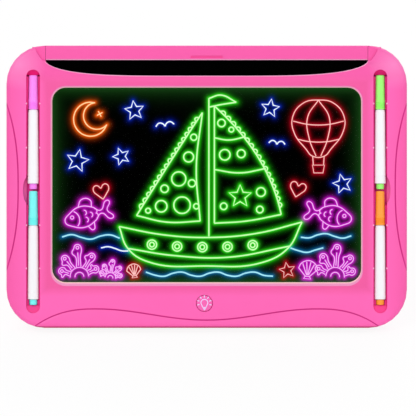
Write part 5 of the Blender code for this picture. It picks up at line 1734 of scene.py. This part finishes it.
@dataclass
class FrontShell(Shell):
    """Front frame: pale painted light on the window lip and rims, saturated painted shade in the slots,
    and painted shade on the creases and bar ends.
    """

    node: str = "front_frame"
    body: str = "case"
    bar_foot: float = 0.1152
    bar_height: float = 0.0136
    bar_half: float = 0.147
    crease: Triple = (0.1494, 0.0087, 0.8)
    crease_near: float = 0.0013
    crease_slack: float = 0.0000311
    crease_slope: float = 0.98
    lip_depth: float = 0.00132
    lip_area: Triple = (0.143, -0.0912, 0.0925)
    lip_slope: Point = (0.4, 0.985)
    slot_depth_share: float = 0.5
    slot_slack_share: float = 1.02
    scoop_y: float = -0.0031
    scoop_half: float = 0.0134
    scoop_start_share: float = 0.8
    scoop_reach: float = 0.0093
    nub_half: float = 0.0016
    nub_levels: Point = (0.0186, 0.0214)
    nub_shares: Point = (0.7, 0.994)
    lens_half: float = 0.1473
    lens_top: float = 0.1154
    lens_depth: float = 0.0142
    lens_power: float = 4.5
    lens_blunt: float = 0.55
    lens_slope: Point = (0.2, 0.99)
    lens_rim_depth: float = 0.0012
    lens_rim_width: float = 0.0016
    hole_radius: float = 0.0081
    hole_depth_share: float = 0.8
    edge: float = 0.00028
    level_slack: float = 0.000028
    rim_angle: float = math.radians(55)
    flat: float = 0.9

    def refine(self, bm: BMesh) -> None:
        """Round the rims of the slots, the bar and the button hole a little.

        Args:
            bm: The shell in the board's frame.
        """
        rims = []
        for edge in bm.edges:
            if not edge.is_manifold or edge.calc_face_angle() < self.rim_angle:
                continue
            level = all(abs(v.co.z - FACE_LEVEL) < self.level_slack for v in edge.verts)
            if level and not all(GROOVES.near(v.co) for v in edge.verts):
                rims.append(edge)
        bmesh.ops.bevel(
            bm, geom=rims, offset=self.edge, segments=2, profile=0.5, affect="EDGES", material=-1
        )
        self.fill_face(bm)

    def fill_face(self, bm: BMesh) -> None:
        """Fill the flat front anew, as the bevel can push a hole's rim across a face's edge.

        Args:
            bm: The bevelled shell in the board's frame.
        """
        front = [
            face for face in bm.faces
            if face.normal.z > self.flat and all(abs(v.co.z - FACE_LEVEL) < MERGE for v in face.verts)
        ]
        bmesh.ops.delete(bm, geom=front, context="FACES")
        rims = [edge for edge in bm.edges if edge.is_boundary]
        bmesh.ops.triangle_fill(bm, use_beauty=True, edges=rims, normal=(0, 0, 1))
        bmesh.ops.recalc_face_normals(bm, faces=bm.faces)

    def lens_edge(self, x: float) -> float:
        """Height of the thumb opening's curved edge at one place across the board."""
        share = min(abs(x) / self.lens_half, 1.0)
        return self.lens_top - self.lens_depth * (1 - share**self.lens_power) ** self.lens_blunt

    def crease_line(self, y: float) -> float:
        """Distance of the crease beside a corner pad from the board's middle, at one height."""
        start, spread, power = self.crease
        return start + spread * max((y - self.bar_foot) / self.bar_height, 0.0) ** power

    def on_lip(self, place: Vector, normal: Vector) -> bool:
        """Whether a face is part of the window's slope.

        Args:
            place: Middle of the face.
            normal: Direction of the face.

        Returns:
            True for such a face.
        """
        out, low, high = self.lip_area
        inside = abs(place.x) < out and low < place.y < high
        level = FACE_LEVEL - self.lip_depth < place.z < FACE_LEVEL
        return inside and level and self.lip_slope[0] < normal.z < self.lip_slope[1]

    def on_lens_rim(self, place: Vector, normal: Vector) -> bool:
        """Whether a face is part of the thin slope along the thumb opening.

        Args:
            place: Middle of the face.
            normal: Direction of the face.

        Returns:
            True for such a face.
        """
        away = abs(place.y - self.lens_edge(place.x))
        near = away < self.lens_rim_width and abs(place.x) < self.lens_half
        level = FACE_LEVEL - self.lens_rim_depth < place.z < FACE_LEVEL
        return near and level and self.lens_slope[0] < normal.z < self.lens_slope[1]

    def on_nub(self, place: Vector, normal: Vector) -> bool:
        """Whether a face is part of a snap nub.

        Args:
            place: Middle of the face.
            normal: Not used.

        Returns:
            True for such a face.
        """
        level = self.nub_levels[0] < place.z < self.nub_levels[1]
        share = abs(abs(place.x) - SLOTS.across) / SLOTS.half
        side = self.nub_shares[0] < share < self.nub_shares[1]
        return level and side and any(abs(place.y - y) < self.nub_half for y in SLOTS.nub_rows)

    def below_rim(self, place: Vector) -> bool:
        """Whether a place lies below the rim of a slot but above the middle of the case."""
        return FACE_LEVEL * self.slot_depth_share < place.z < FACE_LEVEL - self.edge / 2

    def in_slot(self, place: Vector, normal: Vector) -> bool:
        """Whether a face lines a marker slot."""
        across = abs(abs(place.x) - SLOTS.across) < SLOTS.half * self.slot_slack_share
        return self.below_rim(place) and across and SLOTS.low < place.y < SLOTS.high

    def in_scoop(self, place: Vector, normal: Vector) -> bool:
        """Whether a face lines a finger scoop.

        Args:
            place: Middle of the face.
            normal: Not used.

        Returns:
            True for such a face.
        """
        start = SLOTS.half * self.scoop_start_share
        across = start < abs(place.x) - SLOTS.across < self.scoop_reach
        return self.below_rim(place) and across and abs(place.y - self.scoop_y) < self.scoop_half

    def in_button_hole(self, place: Vector, normal: Vector) -> bool:
        """Whether a face lines the button's hole.

        Args:
            place: Middle of the face.
            normal: Direction of the face.

        Returns:
            True for such a face.
        """
        low, high = SPACE.box("button_cap")
        near = ((low + high) / 2 - place).xy.length < self.hole_radius
        return near and abs(normal.z) < self.flat and place.z > FACE_LEVEL * self.hole_depth_share

    def on_crease(self, place: Vector, normal: Vector) -> bool:
        """Whether a face is part of the step between a corner pad and the sunk bar.

        Args:
            place: Middle of the face.
            normal: Direction of the face.

        Returns:
            True for such a face.
        """
        beside = abs(abs(place.x) - self.crease_line(place.y)) < self.crease_near
        level = BAR_LEVEL + self.crease_slack < place.z < FACE_LEVEL - self.crease_slack
        return place.y > self.bar_foot and beside and level and normal.z < self.crease_slope

    def on_bar_end(self, place: Vector, normal: Vector) -> bool:
        """Whether a face is the sunk piece between the flap and a corner pad."""
        above = place.y > self.bar_foot and abs(place.x) > self.bar_half
        return above and abs(place.z - BAR_LEVEL) < self.edge and normal.z > self.flat

    def zones(self) -> list[Zone]:
        """List the zones of the front frame.

        Returns:
            The zones, where the first that holds a face colours it.
        """
        # Pale zones are painted light and the deeper pink zones painted shade; the scoop's slightly paler
        # pink is painted light.
        return [
            (Palette.RIM_HIGHLIGHT, self.on_nub),
            (Palette.LIP_LIGHT, self.on_lip),
            (Palette.RIM_HIGHLIGHT, self.on_lens_rim),
            (Palette.GROOVE, self.in_button_hole),
            (Palette.CREASE, self.on_crease),
            (Palette.BAR_END_SHADE, self.on_bar_end),
            (Palette.SCOOP_LIT, self.in_scoop),
            (Palette.SLOT_SHADE, self.in_slot),
        ]


@dataclass
class SlotTrim:
    """Small forms in the marker slots: nub marks, rails and cheeks, and raised ends."""

    mark_span: Point = (0.0054, 0.0068)
    mark_height: float = 0.0007
    mark_rise: float = 0.00012
    rail_span: Point = (0.00526, 0.00616)
    rail_top: float = 0.0203
    scoop: Point = (-0.0165, 0.0103)
    plug_half: float = 0.0039
    plug_span: Point = (-0.1082, -0.1031)
    cap_half: float = 0.00462
    cap_taper: float = 0.0005
    cap_steps: int = 4
    cheek_top: float = 0.0199
    low_ramp: Triple = (-0.1082, 0.0192, 0.0209)
    high_ramp: Triple = (0.1021, 0.0172, 0.019)
    ramp_share: float = 0.985
    steps: int = 48
    edge: float = 0.00012

    def build(self) -> list[Object]:
        """Make the marks, the rails with the cheeks, and the raised ends of each slot.

        Returns:
            The pieces.
        """
        pieces = [self.marks(), self.rails()]
        for name, side in (("left", -1), ("right", 1)):
            # Both ramps' deeper pinks are painted shade.
            pieces.append(self.ramp(f"slot_ramp_low_{name}", side, -1, self.low_ramp, Palette.RAMP_SHADE))
            pieces.append(self.ramp(f"slot_ramp_high_{name}", side, 1, self.high_ramp, Palette.SLOT_END_SHADE))
        for piece in pieces:
            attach(piece, "case")
        return pieces

    def block(self, bm: BMesh, low: Triple, high: Triple) -> None:
        """Add a block between two corners.

        Args:
            bm: The bmesh to add to.
            low: Lowest corner.
            high: Highest corner.
        """
        made = bmesh.ops.create_cube(bm, size=1.0)["verts"]
        sizes = [far - near for near, far in zip(low, high)]
        middle = [(near + far) / 2 for near, far in zip(low, high)]
        bmesh.ops.scale(bm, vec=sizes, verts=made)
        bmesh.ops.translate(bm, vec=middle, verts=made)

    def soften(self, bm: BMesh) -> None:
        """Bevel every edge of the blocks.

        Args:
            bm: The bmesh with the blocks.
        """
        bmesh.ops.bevel(
            bm, geom=bm.edges[:], offset=self.edge / 2, segments=2, profile=0.5,
            affect="EDGES", material=-1,
        )

    def marks(self) -> Object:
        """Make the pale bars that root the snap nubs in the slot's rims; their pale colour is a painted
        highlight.

        Returns:
            The bars as one piece.
        """
        bm = bmesh.new()
        near, far = self.mark_span
        for y in SLOTS.nub_rows:
            for x in (-SLOTS.across, SLOTS.across):
                for left, right in ((x - far, x - near), (x + near, x + far)):
                    low = (left, y - self.mark_height / 2, FACE_LEVEL - self.mark_rise)
                    high = (right, y + self.mark_height / 2, FACE_LEVEL + self.mark_rise)
                    self.block(bm, low, high)
        self.soften(bm)
        return finished_object("slot_nub_marks", bm, Palette.RIM_HIGHLIGHT.material())

    def clear_spans(self, start: float, end: float, outer: bool) -> list[Point]:
        """Leave the finger scoop out of a stretch of a slot's side.

        Args:
            start: Lower end of the stretch along the slot.
            end: Upper end of the stretch.
            outer: Whether it is the outer side, which has the scoop.

        Returns:
            The stretches that are left.
        """
        if not outer:
            return [(start, end)]
        spans = [(start, min(end, self.scoop[0])), (max(start, self.scoop[1]), end)]
        return [span for span in spans if span[0] < span[1]]

    def stretches(self) -> list[tuple[Point, float, float, float]]:
        """List the stretches of a slot's side: a cheek by the plug, a rail, and cheeks by the caps.

        Returns:
            Each stretch's span along the slot, its inner and outer distance from the slot's middle,
            and the level of its top.
        """
        near, far = self.rail_span
        top = SLOTS.high - SLOTS.half
        found = [
            (self.plug_span, self.plug_half, far, self.cheek_top),
            ((self.plug_span[1], top), near, far, self.rail_top),
        ]
        for node in ("marker_1_cap", "marker_2_cap"):
            low, high = SPACE.box(node)
            length = (high.y - low.y) / self.cap_steps
            for step in range(self.cap_steps):
                span = (low.y + step * length, min(low.y + (step + 1) * length, top))
                half = self.cap_half - self.cap_taper * step / self.cap_steps
                found.append((span, half, near + self.edge, self.cheek_top))
        return found

    def rails(self) -> Object:
        """Make the rails beside the markers, and the cheeks beside their caps and plugs.

        Returns:
            The rails and cheeks as one piece.
        """
        bm = bmesh.new()
        stretches = self.stretches()
        for side in (-1, 1):
            for turn in (-1, 1):
                for (start, end), inner, outer, level in stretches:
                    left, right = sorted(side * SLOTS.across + turn * reach for reach in (inner, outer))
                    for first, last in self.clear_spans(start, end, side == turn):
                        self.block(bm, (left, first, SLOTS.floor), (right, last, level))
        self.soften(bm)
        # The rails' and cheeks' deeper pink is painted shade.
        return finished_object("slot_rails", bm, Palette.RAIL_SHADE.material())

    def ramp(self, name: str, side: int, end: int, levels: Triple, finish: Finish) -> Object:
        """Make the raised floor at one end of one slot.

        Args:
            name: Name of the piece.
            side: Left, -1, or right, 1.
            end: Lower end, -1, or upper end, 1.
            levels: Where it starts along the slot, and its heights there and at the end.
            finish: Its finish.

        Returns:
            The ramp.
        """
        bm = bmesh.new()
        radius = SLOTS.half * self.ramp_share
        height = FACE_LEVEL - SLOTS.floor
        bmesh.ops.create_cone(
            bm, cap_ends=True, segments=self.steps, radius1=radius, radius2=radius, depth=height
        )
        tip = SLOTS.low if end < 0 else SLOTS.high
        centre = (side * SLOTS.across, tip - end * SLOTS.half, SLOTS.floor + height / 2)
        bmesh.ops.translate(bm, vec=centre, verts=bm.verts)
        start = Vector((0, levels[0], levels[1]))
        slope = Vector((0, tip, levels[2])) - start
        for normal in ((0, -end, 0), (0, -end * slope.z, abs(slope.y))):
            everything = bm.verts[:] + bm.edges[:] + bm.faces[:]
            bmesh.ops.bisect_plane(bm, geom=everything, plane_co=start, plane_no=normal, clear_outer=True)
            bmesh.ops.holes_fill(bm, edges=[edge for edge in bm.edges if edge.is_boundary])
        bmesh.ops.recalc_face_normals(bm, faces=bm.faces)
        return finished_object(name, bm, finish.material())


@dataclass
class FlapShell(Shell):
    """Top flap: a pale painted highlight on its foot, and slightly deeper painted shade in the finger
    notch.
    """

    node: str = "top_flap"
    body: str = "flap"
    foot: float = 0.1157
    foot_rim: float = 0.0012
    foot_slope: float = 0.3
    notch_half: float = 0.0146
    notch_span: Point = (0.1172, 0.1198)
    notch_depths: Point = (0.0001, 0.002)

    def on_foot(self, place: Vector, normal: Vector) -> bool:
        """Whether a face is part of the slanted foot."""
        near = self.foot < place.y < self.foot + self.foot_rim
        return near and normal.z > self.foot_slope and normal.y < -self.foot_slope

    def in_notch(self, place: Vector, normal: Vector) -> bool:
        """Whether a face is part of the finger notch.

        Args:
            place: Middle of the face.
            normal: Not used.

        Returns:
            True for such a face.
        """
        span = self.notch_span[0] < place.y < self.notch_span[1]
        deep = self.notch_depths[0] < BAR_LEVEL - place.z < self.notch_depths[1]
        return span and deep and abs(place.x) < self.notch_half

    def zones(self) -> list[Zone]:
        """List the zones of the flap."""
        return [(Palette.NOTCH_SHADE, self.in_notch), (Palette.RIM_HIGHLIGHT, self.on_foot)]


@dataclass
class RearShell(Shell):
    """Rear cover: the walls of its recesses are shaded, so the door and the stand stand out."""

    node: str = "rear_cover"
    body: str = "case"
    recess_area: Point = (0.17, 0.121)
    recess_depth: float = 0.008
    wall_slope: float = 0.4

    def on_recess(self, place: Vector, normal: Vector) -> bool:
        """Whether a face is a wall of a recess in the back."""
        inside = abs(place.x) < self.recess_area[0] and abs(place.y) < self.recess_area[1]
        return inside and place.z < self.recess_depth and abs(normal.z) < self.wall_slope

    def zones(self) -> list[Zone]:
        """List the zones of the rear cover."""
        return [(Palette.CREASE, self.on_recess)]


class Case:
    """The pink case: frame, rear cover, flap, door, stand and button."""

    def build(self) -> list[Object]:
        """Stand in for the moulded nodes with smooth shells.

        Returns:
            The shells and the trim of the slots.
        """
        shells = [
            FrontShell(),
            FlapShell(),
            RearShell(),
            Shell("battery_door", "door"),
            Shell("stand", "stand"),
            Shell("button_cap", "button", Palette.BUTTON),
            Shell("stand_foot_pad", "stand", Palette.RUBBER, "grey_rubber"),
        ]
        return [shell.build() for shell in shells] + SlotTrim().build()


class Inside:
    """Finishes of the nodes that keep their CAD shape."""

    KEPT = {
        "backing_panel": Palette.BLACK,
        "tact_switch": Palette.BLACK_PART,
        "switch_plunger": Palette.WHITE,
        "light_strip_left": Palette.WHITE,
        "light_strip_right": Palette.WHITE,
        "spacer_left": Palette.FOAM,
        "spacer_right": Palette.FOAM,
        "control_board": Palette.CIRCUIT,
        "battery_wire_positive": Palette.RED_SLEEVE,
        "battery_wire_negative": Palette.BLACK_SLEEVE,
        "strip_wire_left": Palette.BLACK_SLEEVE,
        "strip_wire_right": Palette.BLACK_SLEEVE,
    }

    def build(self) -> None:
        """Give each kept node its finish."""
        finishes = {"writing_panel": self.panel(), **self.KEPT}
        for node in frame["nodes"]:
            if "screw" in node or node == "stand_hinge_rod":
                finishes[node] = Palette.STEEL
            elif node.startswith(("terminal", "bridge")):
                finishes[node] = Palette.TIN
            elif node.endswith("_nib"):
                finishes[node] = Palette.FELT
            elif node.endswith("_reservoir"):
                finishes[node] = Palette.INK
            elif node.startswith("battery_cell"):
                finishes[node] = self.jacket(node)
        for node, finish in finishes.items():
            item = frame["nodes"][node]
            item.data.materials.clear()
            item.data.materials.append(finish.material())
        LOG.info("inside: %d nodes dressed", len(finishes))

    def panel(self) -> EdgeLitPanel:
        """Fit the panel's finish to the part of it that the frame leaves free.

        Returns:
            The finish.
        """
        low, high = SPACE.box("writing_panel")
        return EdgeLitPanel(
            "edge_lit_panel", (0.0002, 0.0003, 0.0002), roughness=0.12, specular=0.01, bump=0.01,
            half_width=high.x - PANEL_RIM, low=low.y + PANEL_RIM, high=high.y - PANEL_RIM,
        )

    def jacket(self, node: str) -> BandedJacket:
        """Turn a cell's jacket towards its positive end.

        Args:
            node: Name of the cell's node.

        Returns:
            The finish.
        """
        low, high = SPACE.box(node)
        name = node.replace("battery_cell", "cell_jacket")
        direction = 1.0 if high.x + low.x > 0 else -1.0
        return BandedJacket(name, (0.03, 0.03, 0.035), roughness=0.3, direction=direction)


@dataclass(frozen=True)
class Lamp:
    """Square soft lamp that faces the board."""

    name: str
    place: Triple
    power: float
    size: float

    def build(self) -> None:
        """Add the lamp."""
        light = bpy.data.lights.new(self.name, "AREA")
        light.energy = self.power
        light.size = self.size
        item = bpy.data.objects.new(self.name, light)
        bpy.context.scene.collection.objects.link(item)
        item.location = self.place
        aim = SPACE.origin - Vector(self.place)
        item.rotation_euler = aim.to_track_quat("-Z", "Y").to_euler()


@dataclass
class Studio:
    """Plain pale floor, soft lights and the camera square to the board's face."""

    lens: float = 260.0
    sensor: float = 36.0
    image_width: float = 0.3795
    board_px: Point = (206.7, 186.7)
    world_fill: float = 0.7
    lamps: tuple[Lamp, ...] = (
        Lamp("key_lamp", (-0.9, -1.5, 2.1), 19.0, 1.4),
        Lamp("fill_lamp", (1.4, -1.4, 1.2), 6.0, 1.6),
        Lamp("rear_lamp", (0.5, 1.9, 1.6), 14.0, 1.6),
    )
    floor_half: float = 30.0
    floor_colour: Colour = (0.96, 0.96, 0.96)
    floor_roughness: float = 0.9
    floor_white: float = 0.9

    def build(self) -> None:
        """Make the world, the floor, the lamps and the camera."""
        self.world()
        self.floor()
        for lamp in self.lamps:
            lamp.build()
        self.camera()
        bpy.context.scene.view_settings.view_transform = "Standard"

    def seen_directly(self, kit: NodeKit) -> Socket:
        """Tell what the camera sees, also in reflections and through glass.

        Args:
            kit: Nodes of the world or of a material.

        Returns:
            The socket that is 1 there and 0 for light on its way to other things.
        """
        path = kit.add("ShaderNodeLightPath")
        seen = kit.math("ADD", path.outputs["Is Camera Ray"], path.outputs["Is Glossy Ray"])
        seen = kit.math("ADD", seen, path.outputs["Is Transmission Ray"])
        return kit.math("MINIMUM", seen, 1.0)

    def world(self) -> None:
        """Make white surroundings that light the object less than they show."""
        world = bpy.data.worlds.new("studio")
        bpy.context.scene.world = world
        world.use_nodes = True
        kit = NodeKit(world.node_tree)
        strength = kit.ramp(self.seen_directly(kit), 0.0, 1.0, self.world_fill, 1.0)
        kit.fill(kit.tree.nodes["Background"], {"Color": WHITE, "Strength": strength})

    def floor(self) -> None:
        """Make the white floor that keeps the object's shadow."""
        bm = bmesh.new()
        bmesh.ops.create_grid(bm, x_segments=1, y_segments=1, size=self.floor_half)
        mesh = bpy.data.meshes.new("floor")
        bm.to_mesh(mesh)
        bm.free()
        item = bpy.data.objects.new("floor", mesh)
        bpy.context.scene.collection.objects.link(item)
        material, kit, shader = new_material("floor", {
            "Base Color": self.floor_colour,
            "Roughness": self.floor_roughness,
            "Specular IOR Level": 0.0,
        })
        glow = kit.add("ShaderNodeEmission", {"Color": WHITE})
        share = kit.ramp(self.seen_directly(kit), 0.0, 1.0, 0.0, self.floor_white)
        mixed = kit.add("ShaderNodeMixShader")
        for target, source in zip(mixed.inputs, (share, shader.outputs["BSDF"], glow.outputs["Emission"])):
            kit.feed(target, source)
        kit.fill(kit.tree.nodes["Material Output"], {"Surface": mixed.outputs["Shader"]})
        mesh.materials.append(material)

    def camera(self) -> None:
        """Place the camera square to the face, with the board where the photograph has it."""
        data = bpy.data.cameras.new("camera")
        data.lens = self.lens
        data.sensor_width = self.sensor
        item = bpy.data.objects.new("camera", data)
        bpy.context.scene.collection.objects.link(item)
        pixel = self.image_width / IMAGE_SIDE
        face = SPACE.box("front_frame")[1].z
        aim_x = (IMAGE_SIDE / 2 - self.board_px[0]) * pixel
        aim_y = (self.board_px[1] - IMAGE_SIDE / 2) * pixel
        distance = self.image_width * self.lens / self.sensor
        item.matrix_world = SPACE.to_world @ Matrix.Translation((aim_x, aim_y, face + distance))
        bpy.context.scene.camera = item


def main() -> None:
    """Build each part of the scene in order, and report it."""
    logging.basicConfig(level=logging.INFO, format="%(name)s: %(message)s")
    Studio().build()
    LOG.info("studio: floor, lamps and camera")
    Inside().build()
    for piece in Case().build():
        LOG.info("case: %s", piece.name)
    low, high = SPACE.box("writing_panel")
    drawing = Drawing(
        middle_y=(low.y + high.y) / 2, level=high.z, half_width=high.x - PANEL_RIM,
        half_height=(high.y - low.y) / 2 - PANEL_RIM,
    )
    for piece in drawing.build():
        LOG.info("drawing: %s, %d faces", piece.name, len(piece.data.polygons))
    for number in Palette.CAPS:
        for piece in Marker(number).build():
            LOG.info("marker: %s", piece.name)
    LOG.info("button: %s", ModeButton().build().name)
    screws = [Screw(f"case_screw_{number}", "case") for number in range(1, 9)]
    for screw in [*screws, Screw("door_screw", "door", head_height=0.0014, recess=0.0006)]:
        LOG.info("screw: %s", screw.build().name)


if __name__ == "__main__":
    main()
